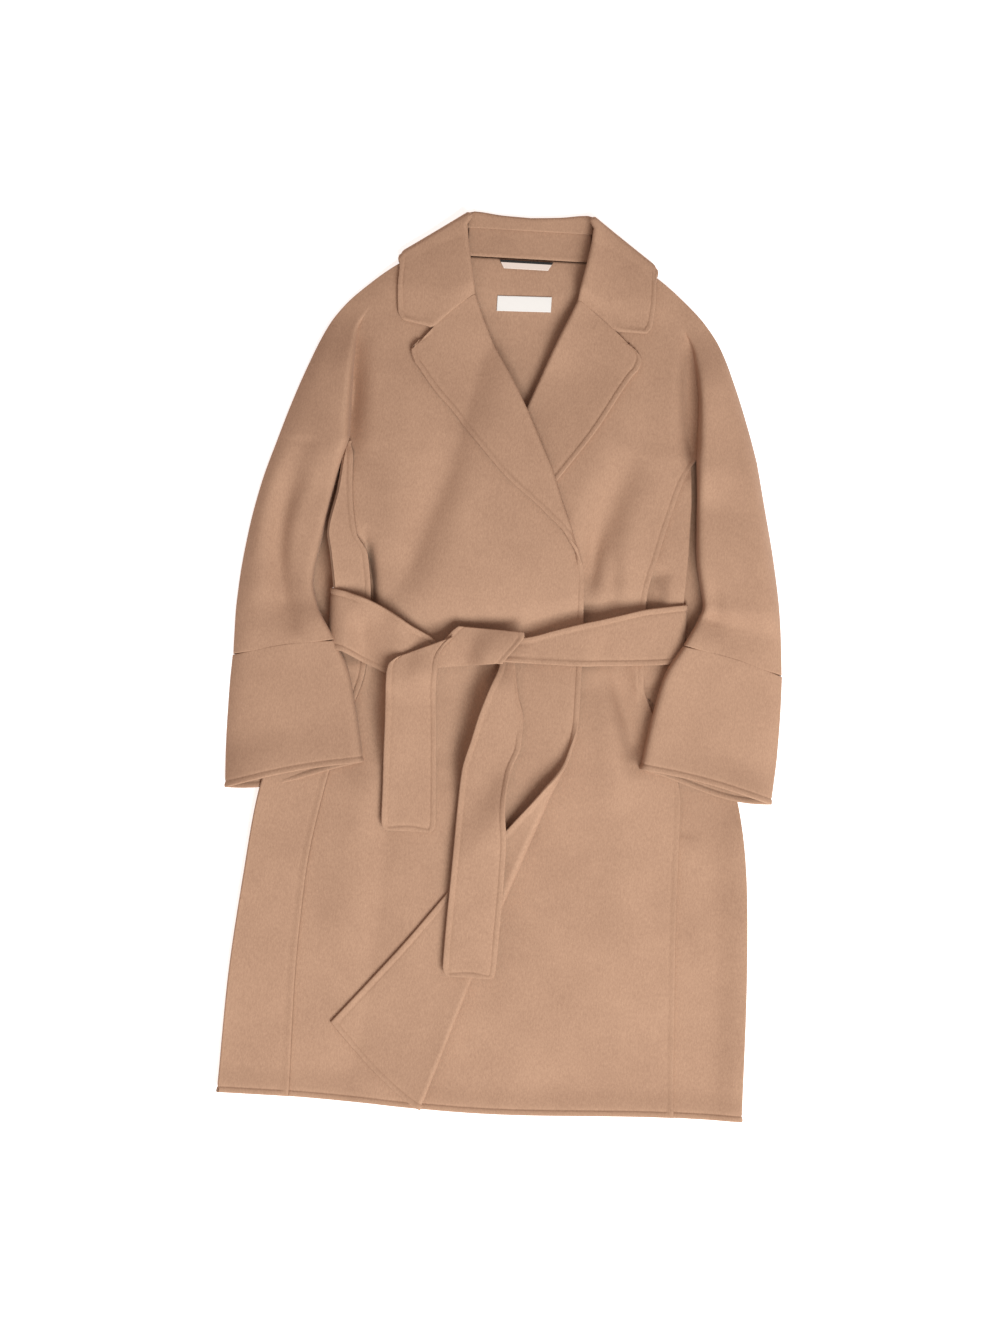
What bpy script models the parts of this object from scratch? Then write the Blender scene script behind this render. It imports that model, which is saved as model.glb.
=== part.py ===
"""A belted long coat of double-faced wool, laid flat on its back with the belt tied.

Metres. The floor is at Z 0 and +Z points up out of the coat's front. +Y runs from the hem to the
collar and +X is the wearer's left. Heights along the coat ("up") are measured from the hem.
Every panel is an open sheet of sections through tables, made solid by its cloth's thickness.
"""

import math
from collections import namedtuple

import bmesh
import bpy
from mathutils import Vector
from mathutils.bvhtree import BVHTree

CLOTH = 0.0024
RIBBON = 0.0010
GAP = 0.0003
HALF = CLOTH / 2
LAYER = CLOTH + GAP
SEAM = 0.0004
MEET = 0.00002
ROUGHNESS = 0.9
CAMEL = (0.50, 0.28, 0.18, 1.0)
CREAM = (0.80, 0.75, 0.70, 1.0)

# Places along the coat, up from the hem.
NOTCH_UP = 0.757
GORGE_UP = 0.931
NECK_UP = 0.968
NECK_HALF = 0.0715
SHOULDER_UP = 0.998
MIDDLE_UP = 0.5083

# The belt's run under the back, and the collar's fall under the neck, lift the back panel.
BELT_LOW = 0.512
BELT_HIGH = 0.592
BELT_SLOPE = 0.030
FALL_WIDTH = 0.150
FALL_UP = 0.940
FALL_SLOPE = 0.035
FALL_RISE = 0.0035

# A sleeve's lower layer rises off the floor to lie on the belt and the skirt.
ARM_RISE = 0.0180
ARM_RISE_FROM = 0.618
ARM_RISE_OVER = 0.068
ARM_SLOPE = 0.058
ARM_REACH = 0.068

# The lower layer reaches in to the body's side, and draws back to the underarm near the cuff.
UNDERARM_GAP = 0.0012
UNDERARM_LOW = 0.555
UNDERARM_OVER = 0.030

# Half the body. Seam is the front seam of the underarm panel, and above the notch the valley
# between body and sleeve. Edge is the side fold. The last three are the room between front and
# back at the centre, at the side of the chest and at the seam.
Body = namedtuple("Body", "up seam edge centre side rim")
BODY = (
    Body(-0.010, 0.2215, 0.3025, 0.0010, 0.0015, 0.0015),
    Body(0.120, 0.2185, 0.2985, 0.0030, 0.0040, 0.0040),
    Body(0.250, 0.2140, 0.2890, 0.0040, 0.0070, 0.0060),
    Body(0.362, 0.2020, 0.2720, 0.0050, 0.0090, 0.0070),
    Body(0.440, 0.1800, 0.2250, 0.0060, 0.0100, 0.0070),
    Body(0.500, 0.1580, 0.1950, 0.0030, 0.0050, 0.0030),
    Body(0.590, 0.1590, 0.1990, 0.0030, 0.0050, 0.0030),
    Body(0.650, 0.1740, 0.2055, 0.0070, 0.0140, 0.0090),
    Body(0.700, 0.1840, 0.2010, 0.0080, 0.0170, 0.0080),
    Body(0.757, 0.1950, 0.1965, 0.0090, 0.0180, 0.0030),
    Body(0.820, 0.1970, 0.2000, 0.0080, 0.0160, 0.0060),
    Body(0.880, 0.1930, 0.2000, 0.0060, 0.0120, 0.0100),
    Body(0.920, 0.1720, 0.2000, 0.0040, 0.0080, 0.0080),
    Body(0.950, 0.1400, 0.2000, 0.0025, 0.0040, 0.0040),
    Body(0.998, 0.0745, 0.2000, 0.0010, 0.0010, 0.0010),
)
CHEST_SHARE = 0.68
BACK_SEAM_SHARE = 0.35

# Shoulder and overarm line down to the notch, with the room inside the sleeve's head.
Shoulder = namedtuple("Shoulder", "up outer puff neck")
SHOULDER = (
    Shoulder(0.757, 0.2765, 0.0170, 0.060),
    Shoulder(0.790, 0.2650, 0.0160, 0.060),
    Shoulder(0.840, 0.2460, 0.0130, 0.060),
    Shoulder(0.890, 0.2235, 0.0090, 0.060),
    Shoulder(0.913, 0.2070, 0.0070, 0.060),
    Shoulder(0.931, 0.1893, 0.0047, 0.060),
    Shoulder(0.962, 0.1500, 0.0020, 0.066),
    Shoulder(0.985, 0.1080, 0.0010, 0.070),
    Shoulder(0.998, 0.0785, 0.0000, 0.072),
)

# Sleeve below the notch, and cuff: underarm point, overarm point, and the room inside.
Arm = namedtuple("Arm", "inner inner_up outer outer_up puff")
SLEEVE = (
    Arm(0.1950, 0.757, 0.2765, 0.757, 0.0170),
    Arm(0.2085, 0.710, 0.2890, 0.703, 0.0180),
    Arm(0.2150, 0.655, 0.3010, 0.648, 0.0170),
    Arm(0.2245, 0.598, 0.3100, 0.590, 0.0150),
    Arm(0.2185, 0.567, 0.3140, 0.550, 0.0120),
    Arm(0.2000, 0.536, 0.3160, 0.510, 0.0090),
)
CUFF = (
    Arm(0.1997, 0.5353, 0.3160, 0.5093, 0.0090),
    Arm(0.1830, 0.500, 0.3165, 0.470, 0.0080),
    Arm(0.1700, 0.450, 0.3155, 0.415, 0.0080),
    Arm(0.1600, 0.394, 0.3130, 0.360, 0.0090),
)
CUFF_EDGE = 0.0017
CUFF_LIP = 0.013
CUFF_LIP_ROWS = 3
PUFF_ROUND = 0.8

# Each front's turned edge: where the fold lies across the coat (positive on the front's own
# side), how far the free edge shifts up along the fold, the turned width, how far it turns
# (1 is folded flat) and the roll's radius.
Turn = namedtuple("Turn", "up fold along width turned radius")
OVER_TURN = (
    Turn(0.000, 0.0700, 0.046, 0.131, 1.0, 0.0030),
    Turn(0.120, 0.0280, 0.034, 0.096, 1.0, 0.0035),
    Turn(0.205, -0.0020, 0.025, 0.071, 1.0, 0.0040),
    Turn(0.300, -0.0360, 0.015, 0.044, 1.0, 0.0060),
    Turn(0.360, -0.0570, 0.008, 0.028, 0.9, 0.0070),
    Turn(0.410, -0.0740, 0.003, 0.014, 0.45, 0.0070),
    Turn(0.455, -0.0800, 0.000, 0.008, 0.0, 0.0070),
    Turn(0.520, -0.0800, 0.000, 0.008, 0.0, 0.0040),
    Turn(0.615, -0.0760, 0.000, 0.008, 0.0, 0.0030),
    Turn(0.645, -0.0720, 0.000, 0.010, 0.5, 0.0030),
    Turn(0.662, -0.0680, 0.000, 0.014, 1.0, 0.0030),
    Turn(0.697, -0.0540, -0.002, 0.030, 1.0, 0.0030),
    Turn(0.733, -0.0405, -0.004, 0.051, 1.0, 0.0030),
    Turn(0.762, -0.0265, -0.001, 0.064, 1.0, 0.0030),
    Turn(0.804, -0.0060, 0.002, 0.078, 1.0, 0.0030),
    Turn(0.835, 0.0110, 0.003, 0.085, 1.0, 0.0030),
    Turn(0.876, 0.0360, 0.003, 0.091, 1.0, 0.0030),
    Turn(0.931, 0.0600, -0.031, 0.102, 1.0, 0.0030),
)
UNDER_TURN = (
    Turn(0.000, -0.0800, 0.000, 0.004, 0.0, 0.0025),
    Turn(0.565, -0.0800, 0.000, 0.004, 0.0, 0.0025),
    Turn(0.592, -0.0780, 0.000, 0.006, 0.6, 0.0025),
    Turn(0.612, -0.0705, 0.002, 0.018, 1.0, 0.0025),
    Turn(0.652, -0.0550, 0.005, 0.043, 1.0, 0.0025),
    Turn(0.700, -0.0350, 0.008, 0.060, 1.0, 0.0025),
    Turn(0.755, -0.0120, 0.008, 0.075, 1.0, 0.0025),
    Turn(0.804, 0.0080, 0.007, 0.087, 1.0, 0.0025),
    Turn(0.883, 0.0392, -0.006, 0.099, 1.0, 0.0030),
    Turn(0.931, 0.0600, -0.031, 0.102, 1.0, 0.0030),
)
GORGE_BOW = 1.5
ROLL_EASE = 0.022
TANGENT = 0.004
LEAST_ARC = 0.0005
SETTLED = 0.75

# Soft ridges in the fronts, from one end to the other in x and up, with their width and height.
Ridge = namedtuple("Ridge", "x up to_x to_up width rise")
RIDGES = (
    Ridge(-0.138, 0.690, -0.120, 0.575, 0.020, 0.006),
    Ridge(-0.090, 0.640, -0.085, 0.585, 0.018, 0.004),
    Ridge(0.142, 0.700, 0.122, 0.580, 0.020, 0.006),
    Ridge(0.110, 0.760, 0.060, 0.620, 0.024, 0.004),
    Ridge(-0.128, 0.480, -0.150, 0.330, 0.022, 0.006),
    Ridge(0.125, 0.500, 0.140, 0.340, 0.022, 0.006),
    Ridge(-0.150, 0.380, -0.170, 0.150, 0.028, 0.004),
    Ridge(0.150, 0.360, 0.160, 0.120, 0.028, 0.004),
)

RIDGE_END = 0.15
RIDGE_FADE = 6

# Rows of the panels, up from the hem.
YOKE_UPS = (0.998, 0.984, 0.968, 0.948, 0.931, 0.912, 0.893, 0.870, 0.845, 0.820, 0.795, 0.775, 0.757)
SKIRT_UPS = (
    (0.747, 0.730, 0.705, 0.680, 0.657, 0.636, 0.612, 0.590, 0.565, 0.540, 0.515, 0.490)
    + (0.465, 0.440, 0.413, 0.385, 0.355, 0.315, 0.265, 0.205, 0.140, 0.070, 0.000)
)
FRONT_SHARES = (0.0, 0.05, 0.15, 0.27, 0.39, 0.51, 0.63, 0.74, 0.84, 0.92, 1.0)
BACK_SHARES = (0.0, 0.25, 0.50, 0.75, 1.0)
BACK_SPLIT = 0.50
SLEEVE_SHARES = (0.0, 0.10, 0.28, 0.50, 0.72, 0.90, 1.0)
UNDERARM_SHARES = (0.0, 0.25, 0.50, 0.75, 1.0)
CUFF_SHARES = (0.03, 0.14, 0.32, 0.50, 0.68, 0.86, 0.97)
ROLL_STEPS = 4
TURN_STEPS = 3
PANEL_STEPS = 4
PANEL_LEVEL = 0.6
PANEL_UPRIGHT = 0.55
PANEL_TOP_GAP = 0.0016
SLEEVE_STEPS = 2
HEM_DIP = 0.008
HEM_DIP_HALF = 0.24
HEM_DIP_UP = 0.16

# Collar fall: the roll edge and the style edge at stations from the centre back to the front end.
Fall = namedtuple("Fall", "roll roll_up edge edge_up")
FALL_BACK = (
    Fall(0.000, 1.0220, 0.000, 0.946),
    Fall(0.034, 1.0225, 0.044, 0.944),
    Fall(0.058, 1.0235, 0.094, 0.945),
    Fall(0.068, 1.0235, 0.128, 0.955),
)
FALL_FRONT = (
    Fall(0.0735, 1.0120, 0.1475, 0.952),
    Fall(0.0715, 0.9950, 0.1478, 0.934),
    Fall(0.0670, 0.9700, 0.1475, 0.918),
    Fall(0.0625, 0.9480, 0.1460, 0.906),
    Fall(0.0580, 0.9342, 0.1400, 0.8985),
)
FALL_NOTCH = (0.1062, 0.8955)
FALL_BOW = 0.0024
FALL_NOTCH_SHARE = 0.57
FALL_CORNER = (0.0735, 1.0235)
FALL_POINT = (0.1500, 0.9700)
FALL_LIP = 0.0162
FALL_TURN = 0.0017
FALL_INSET = 0.012
FALL_SHARES = (0.0, 0.03, 0.07, 0.13, 0.22, 0.40, 0.57, 0.80, 1.0)
FALL_BEND_STEPS = 4
LEAF_LEAST = 0.0102
LEAF_SLACK = 0.0016
STAND_LOW = 0.9700
STAND_HIGH = 1.0055
STAND_HALF = 0.0708

# Belt round the waist: across, top and bottom edges of its two front runs.
Run = namedtuple("Run", "x top low")
BELT_RIGHT = (
    Run(-0.196, 0.5855, 0.5170),
    Run(-0.182, 0.5815, 0.5110),
    Run(-0.165, 0.5765, 0.5030),
    Run(-0.147, 0.5690, 0.4960),
    Run(-0.130, 0.5600, 0.4890),
    Run(-0.110, 0.5480, 0.4830),
    Run(-0.088, 0.5380, 0.4790),
)
BELT_LEFT = (
    Run(0.196, 0.5880, 0.5215),
    Run(0.180, 0.5850, 0.5190),
    Run(0.157, 0.5800, 0.5170),
    Run(0.131, 0.5720, 0.5150),
    Run(0.108, 0.5650, 0.5135),
    Run(0.085, 0.5585, 0.5120),
    Run(0.055, 0.5480, 0.5120),
    Run(0.025, 0.5370, 0.5120),
    Run(-0.005, 0.5310, 0.5110),
)
BELT_SIDE = 0.2030
BELT_REACH = 0.1975
BELT_BEND_STEPS = 6
BELT_BACK_RUNS = 8
BELT_SHARES = (0.0, 0.33, 0.67, 1.0)

# Knot wrap and tails: left and right edges down their length.
Strip = namedtuple("Strip", "left left_up right right_up")
KNOT = (
    Strip(-0.051, 0.5490, 0.0205, 0.5470),
    Strip(-0.054, 0.5450, 0.0200, 0.5425),
    Strip(-0.062, 0.5330, 0.0135, 0.5320),
    Strip(-0.070, 0.5200, 0.0050, 0.5210),
    Strip(-0.0755, 0.5060, -0.0030, 0.5100),
    Strip(-0.0760, 0.5010, -0.0060, 0.5060),
)
KNOT_PUFF = 0.009
KNOT_ROUND = 0.6
TAIL_SHORT = (
    Strip(-0.1300, 0.5070, -0.0790, 0.5310),
    Strip(-0.1355, 0.4960, -0.0800, 0.5090),
    Strip(-0.1350, 0.4700, -0.0780, 0.4750),
    Strip(-0.1340, 0.4350, -0.0745, 0.4350),
    Strip(-0.1335, 0.3980, -0.0725, 0.3980),
    Strip(-0.1325, 0.3600, -0.0705, 0.3600),
    Strip(-0.1320, 0.3220, -0.0690, 0.3220),
    Strip(-0.1280, 0.3130, -0.0720, 0.3130),
)
TAIL_LONG = (
    Strip(-0.0050, 0.5210, 0.0100, 0.5210),
    Strip(-0.0075, 0.5050, 0.0115, 0.5030),
    Strip(-0.0170, 0.4800, 0.0160, 0.4760),
    Strip(-0.0270, 0.4500, 0.0240, 0.4450),
    Strip(-0.0340, 0.4220, 0.0235, 0.4180),
    Strip(-0.0430, 0.3850, 0.0130, 0.3850),
    Strip(-0.0455, 0.3450, 0.0095, 0.3450),
    Strip(-0.0470, 0.3000, 0.0130, 0.3000),
    Strip(-0.0490, 0.2500, 0.0125, 0.2500),
    Strip(-0.0510, 0.2050, 0.0110, 0.2050),
    Strip(-0.0520, 0.1600, 0.0095, 0.1600),
    Strip(-0.0470, 0.1490, 0.0040, 0.1480),
)
TAIL_SHARES = (0.0, 0.2, 0.4, 0.6, 0.8, 1.0)

# Ribbon loop and label inside the back neck.
LOOP_PATH = ((-0.0335, 0.9655), (-0.0250, 0.9585), (-0.0030, 0.9570), (0.0200, 0.9580), (0.0275, 0.9650))
LOOP_WIDTH = 0.0065
LABEL_LEFT = -0.0335
LABEL_RIGHT = 0.0290
LABEL_LOW = 0.9135
LABEL_HIGH = 0.9310

# How far round a point a draped sheet looks for what lies below it.
NEAR = 0.016
WIDE = 0.028
RING_SAMPLES = 12
RING_PARTS = (0.2, 0.4, 0.6, 0.8, 1.0)


def step(share):
    """Rises smoothly from 0 to 1."""
    share = min(max(share, 0.0), 1.0)
    return share * share * (3.0 - 2.0 * share)


def smooth(places, values, at):
    """A smooth value between given ones, with no overshoot."""
    if at <= places[0]:
        return values[0]
    if at >= places[-1]:
        return values[-1]
    rates = []
    for i in range(len(places) - 1):
        rates.append((values[i + 1] - values[i]) / (places[i + 1] - places[i]))
    slopes = [rates[0]]
    for before, after in zip(rates, rates[1:]):
        same_way = before * after > 0.0
        slopes.append(2.0 * before * after / (before + after) if same_way else 0.0)
    slopes.append(rates[-1])
    i = max(k for k in range(len(places) - 1) if places[k] <= at)
    span = places[i + 1] - places[i]
    share = (at - places[i]) / span
    rest = 1.0 - share
    start = values[i] * (1.0 + 2.0 * share) * rest * rest + slopes[i] * span * share * rest * rest
    end = values[i + 1] * (3.0 - 2.0 * share) * share * share - slopes[i + 1] * span * share * share * rest
    return start + end


def read(table, column, up):
    """A table's column at a height, by its first column."""
    return smooth([row[0] for row in table], [getattr(row, column) for row in table], up)


def between(rows, steps):
    """The rows of a table with smooth rows set in between, each a plain tuple."""
    count = len(rows) - 1
    places = list(range(len(rows)))
    columns = [[row[k] for row in rows] for k in range(len(rows[0]))]
    return [
        tuple(smooth(places, values, i / steps) for values in columns) for i in range(count * steps + 1)
    ]


def rise(x, up):
    """How far the belt's back run and the collar's fall lift the back panel off the floor."""
    below = step((up - BELT_LOW + BELT_SLOPE) / BELT_SLOPE)
    above = step((BELT_HIGH + BELT_SLOPE - up) / BELT_SLOPE)
    out = step((FALL_WIDTH + FALL_SLOPE - abs(x)) / FALL_SLOPE)
    top = step((up - FALL_UP + FALL_SLOPE) / FALL_SLOPE)
    return LAYER * below * above + FALL_RISE * out * top


def back_height(x, up):
    """Height of the back panel's middle."""
    return HALF + rise(x, up)


def ridges(x, up):
    """Height of the soft ridges at a place on the fronts."""
    height = 0.0
    for ridge in RIDGES:
        start = Vector((ridge.x, ridge.up))
        along = Vector((ridge.to_x, ridge.to_up)) - start
        share = (Vector((x, up)) - start).dot(along) / along.length_squared
        share = min(max(share, 0.0), 1.0)
        away = (Vector((x, up)) - start - along * share).length / ridge.width
        taper = math.sin(math.pi * (RIDGE_END + (1.0 - 2.0 * RIDGE_END) * share))
        height += ridge.rise * math.exp(-away * away) * taper
    return height


def front_height(x, up):
    """Height of a front panel's middle where it lies on the back with only its own room."""
    across = min(abs(x) / read(BODY, "seam", up), 1.0)
    rooms = [read(BODY, name, up) for name in ("centre", "side", "rim")]
    room = smooth((0.0, CHEST_SHARE, 1.0), rooms, across)
    return back_height(x, up) + LAYER + room + ridges(x, up) * (1.0 - across ** RIDGE_FADE)


def arm_height(x, up):
    """Height of the middle of a sleeve's lower layer."""
    over = step((read(BODY, "edge", up) + ARM_REACH - abs(x)) / ARM_SLOPE)
    down = step((ARM_RISE_FROM - up) / ARM_RISE_OVER)
    return HALF + ARM_RISE * over * down


def dome(share):
    """Cross-section of a puffed layer."""
    return math.sin(math.pi * min(max(share, 0.0), 1.0)) ** PUFF_ROUND


def hem(x):
    """The hem dips a little towards the centre."""
    return -HEM_DIP * (1.0 - step(abs(x) / HEM_DIP_HALF))


def dropped(x, up):
    """A place on a panel, moved down with the hem's dip."""
    return up + hem(x) * step((HEM_DIP_UP - up) / HEM_DIP_UP)


def tops(solids):
    """Ready-made lookups of the highest surface of some finished pieces."""
    graph = bpy.context.evaluated_depsgraph_get()
    return [BVHTree.FromObject(solid, graph) for solid in solids]


def clearance(x, up, trees, radius, reach=1.0):
    """Height for the middle of a sheet that lies on finished pieces, out to a reach from the centre."""
    places = [(x, up)]
    for part in RING_PARTS:
        ring = part * radius
        for k in range(RING_SAMPLES):
            turn = 2.0 * math.pi * k / RING_SAMPLES
            places.append((x + ring * math.cos(turn), up + ring * math.sin(turn)))
    highest = 0.0
    for place_x, place_up in places:
        if abs(place_x) > reach:
            continue
        for tree in trees:
            hit = tree.ray_cast(Vector((place_x, place_up, 1.0)), Vector((0.0, 0.0, -1.0)))[0]
            if hit is not None:
                highest = max(highest, hit.z)
    return highest + GAP + HALF


def material(name, colour):
    made = bpy.data.materials.new(name)
    made.use_nodes = True
    shader = made.node_tree.nodes["Principled BSDF"]
    shader.inputs["Base Color"].default_value = colour
    shader.inputs["Roughness"].default_value = ROUGHNESS
    return made


def sheet(name, patches, colour, thickness=CLOTH, ring=False, mirrored=False):
    """A solid from grids of points on its middle, sewn together where their points meet."""
    mesh = bmesh.new()
    for rows in patches:
        grid = [[mesh.verts.new(point) for point in row] for row in rows]
        for upper, lower in zip(grid, grid[1:]):
            last = len(upper) if ring else len(upper) - 1
            for k in range(last):
                n = (k + 1) % len(upper)
                mesh.faces.new((upper[k], lower[k], lower[n], upper[n]))
    bmesh.ops.remove_doubles(mesh, verts=mesh.verts, dist=MEET)
    bmesh.ops.recalc_face_normals(mesh, faces=mesh.faces)
    data = bpy.data.meshes.new(name)
    mesh.to_mesh(data)
    mesh.free()
    made = bpy.data.objects.new(name, data)
    made.parent = FRAME
    COAT.objects.link(made)
    data.materials.append(material(name, colour))
    if mirrored:
        mirror = made.modifiers.new("Other half", "MIRROR")
        mirror.merge_threshold = MEET
    wall = made.modifiers.new("Cloth", "SOLIDIFY")
    wall.thickness = thickness
    wall.offset = 0.0
    return made


def sleeve_patches(side, upper):
    """The sleeve's head beside the yoke, and the sleeve from the notch to the cuff."""
    shares = SLEEVE_SHARES if upper else UNDERARM_SHARES
    head = []
    for up in YOKE_UPS:
        valley = read(BODY, "seam", up)
        outer = read(SHOULDER, "outer", up)
        puff = read(SHOULDER, "puff", up)
        row = []
        for share in shares:
            x = valley + (outer - valley) * share
            height = back_height(x, up)
            if upper:
                inside = front_height(valley, up) - back_height(valley, up)
                height += inside + (LAYER - inside) * step(share) + puff * dome(share)
            row.append(Vector((side * x, up, height)))
        head.append(row)
    arm = [head[-1]]
    for inner, inner_up, outer, outer_up, puff in between(SLEEVE, SLEEVE_STEPS)[1:]:
        if not upper:
            beside = max(read(BODY, "edge", inner_up), BELT_SIDE + HALF) + UNDERARM_GAP
            inner += (beside - inner) * step((inner_up - UNDERARM_LOW) / UNDERARM_OVER)
        row = []
        for share in shares:
            x = inner + (outer - inner) * share
            up = inner_up + (outer_up - inner_up) * share
            height = arm_height(x, up)
            if upper:
                height += LAYER + puff * dome(share)
            row.append(Vector((side * x, up, height)))
        arm.append(row)
    return [head, arm]


def back_seam(up):
    """Where the underarm panel is sewn to the back, under the coat."""
    seam = read(BODY, "seam", up)
    return seam + BACK_SEAM_SHARE * (read(BODY, "edge", up) - seam)


def build_back():
    top = []
    yoke = []
    for up in YOKE_UPS:
        valley = read(BODY, "seam", up)
        low = (NECK_UP - up) / (NECK_UP - NOTCH_UP)
        split = NECK_HALF + (BACK_SPLIT * read(BODY, "seam", NOTCH_UP) - NECK_HALF) * max(low, 0.0)
        row = []
        for share in BACK_SHARES:
            x = split * share / BACK_SPLIT
            if share > BACK_SPLIT:
                x = split + (valley - split) * (share - BACK_SPLIT) / (1.0 - BACK_SPLIT)
            row.append(Vector((x, up, back_height(x, up))))
        if up >= NECK_UP:
            top.append(row[BACK_SHARES.index(BACK_SPLIT) :])
        if up <= NECK_UP:
            yoke.append(row)
    skirt = [yoke[-1]]
    for up in SKIRT_UPS:
        reach = back_seam(up)
        xs = [reach * share for share in BACK_SHARES]
        skirt.append([Vector((x, dropped(x, up), back_height(x, up))) for x in xs])
    return sheet("back", [top, yoke, skirt] + sleeve_patches(1.0, False), CAMEL, mirrored=True)


def turned_points(side, turns, up, height):
    """The turned edge of a front at one row, from the free edge to the fold."""
    fold, along, width, turned, radius = (read(turns, name, up) for name in Turn._fields[1:])
    below = max(up - TANGENT, turns[0].up)
    above = min(up + TANGENT, turns[-1].up)
    slope = (read(turns, "fold", above) - read(turns, "fold", below)) / (above - below)
    upward = Vector((slope, 1.0)).normalized()
    outward = Vector((-upward.y, upward.x))
    angle = math.pi * turned
    settled = step((turned - SETTLED) / (1.0 - SETTLED))
    arc = min(radius * angle, width)
    lengths = [arc * k / ROLL_STEPS for k in range(1, ROLL_STEPS + 1)] if arc > LEAST_ARC else []
    steps = ROLL_STEPS + TURN_STEPS - len(lengths)
    lengths += [arc + (width - arc) * k / steps for k in range(1, steps + 1)]
    points = []
    for length in lengths:
        bend = min(length / radius, angle)
        straight = max(length - arc, 0.0)
        out = radius * math.sin(bend) + straight * math.cos(angle)
        lift = radius * (1.0 - math.cos(bend)) + straight * math.sin(angle)
        lift -= settled * (2.0 * radius - LAYER) * (1.0 - math.exp(-straight / ROLL_EASE))
        bow = along * (length / width) ** GORGE_BOW
        place = Vector((fold, up)) + outward * out + upward * bow
        points.append(Vector((side * place.x, place.y, height(side * place.x, place.y) + lift)))
    return points[::-1]


def build_front(name, side, turns, height):
    yoke = []
    for up in YOKE_UPS:
        if up < GORGE_UP - SEAM:
            continue
        neck = read(SHOULDER, "neck", up)
        valley = read(BODY, "seam", up)
        xs = [side * (neck + (valley - neck) * share) for share in FRONT_SHARES]
        yoke.append([Vector((x, up, height(x, up))) for x in xs])
    body = []
    for up in [up for up in YOKE_UPS if up <= GORGE_UP] + list(SKIRT_UPS):
        fold = read(turns, "fold", up)
        reach = read(BODY, "seam", up)
        xs = [side * (fold + (reach - fold) * share) for share in FRONT_SHARES]
        row = turned_points(side, turns, up, height)
        row += [Vector((x, up, height(x, up))) for x in xs]
        body.append([Vector((p.x, dropped(p.x, p.y), p.z)) for p in row])
    return sheet(name, [yoke, body] + sleeve_patches(side, True), CAMEL)


def quarter_turn(start, end, level_first):
    """Points of a rounded quarter from start to end, each (across, height), level at one end."""
    if level_first:
        first = (start[0] + PANEL_LEVEL * (end[0] - start[0]), start[1])
        second = (end[0], end[1] + PANEL_UPRIGHT * (start[1] - end[1]))
    else:
        first = (start[0], start[1] + PANEL_UPRIGHT * (end[1] - start[1]))
        second = (end[0] + PANEL_LEVEL * (start[0] - end[0]), end[1])
    points = []
    for k in range(PANEL_STEPS + 1):
        t = k / PANEL_STEPS
        weights = ((1 - t) ** 3, 3 * t * (1 - t) ** 2, 3 * t * t * (1 - t), t ** 3)
        corners = (start, first, second, end)
        across = sum(weight * corner[0] for weight, corner in zip(weights, corners))
        height = sum(weight * corner[1] for weight, corner in zip(weights, corners))
        points.append((across, height))
    return points


def build_side_panel(name, side):
    """From the front seam round the side fold and under to the back seam."""
    rows = []
    for up in SKIRT_UPS:
        gap = PANEL_TOP_GAP if up == SKIRT_UPS[0] else SEAM
        seam = read(BODY, "seam", up) + SEAM
        edge = read(BODY, "edge", up) - HALF
        top = front_height(seam, up)
        floor = back_height(seam, up)
        fold = (edge, 0.5 * (top + floor))
        points = quarter_turn((seam, top), fold, True)
        points += quarter_turn(fold, (back_seam(up) + gap, floor), False)[1:]
        rows.append([Vector((side * x, dropped(x, up), z)) for x, z in points])
    return sheet(name, [rows], CAMEL)


def build_cuff(name, side):
    rows = []
    stations = between(CUFF, 2)
    for i, (inner, inner_up, outer, outer_up, puff) in enumerate(stations):
        lip = CUFF_LIP * step((i - len(stations) + 1 + CUFF_LIP_ROWS) / CUFF_LIP_ROWS)

        def place(share, upper, level):
            x = inner + (outer - inner) * share
            up = inner_up + (outer_up - inner_up) * share
            drop = 0.0 if upper else lip * math.sin(math.pi * share) * share
            return Vector((side * x, up - drop, arm_height(x, up) + level))

        row = [place(0.0, True, CUFF_EDGE)]
        row += [place(share, True, 2.0 * CUFF_EDGE + puff * dome(share)) for share in CUFF_SHARES]
        row += [place(1.0, True, CUFF_EDGE)]
        row += [place(share, False, 0.0) for share in reversed(CUFF_SHARES)]
        rows.append(row)
    return sheet(name, [rows], CAMEL, ring=True)


def leaf_height(x, up):
    """Height of the middle of a collar leaf on the front below it."""
    return max(front_height(x, up) + LAYER + LEAF_SLACK, LEAF_LEAST)


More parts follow.
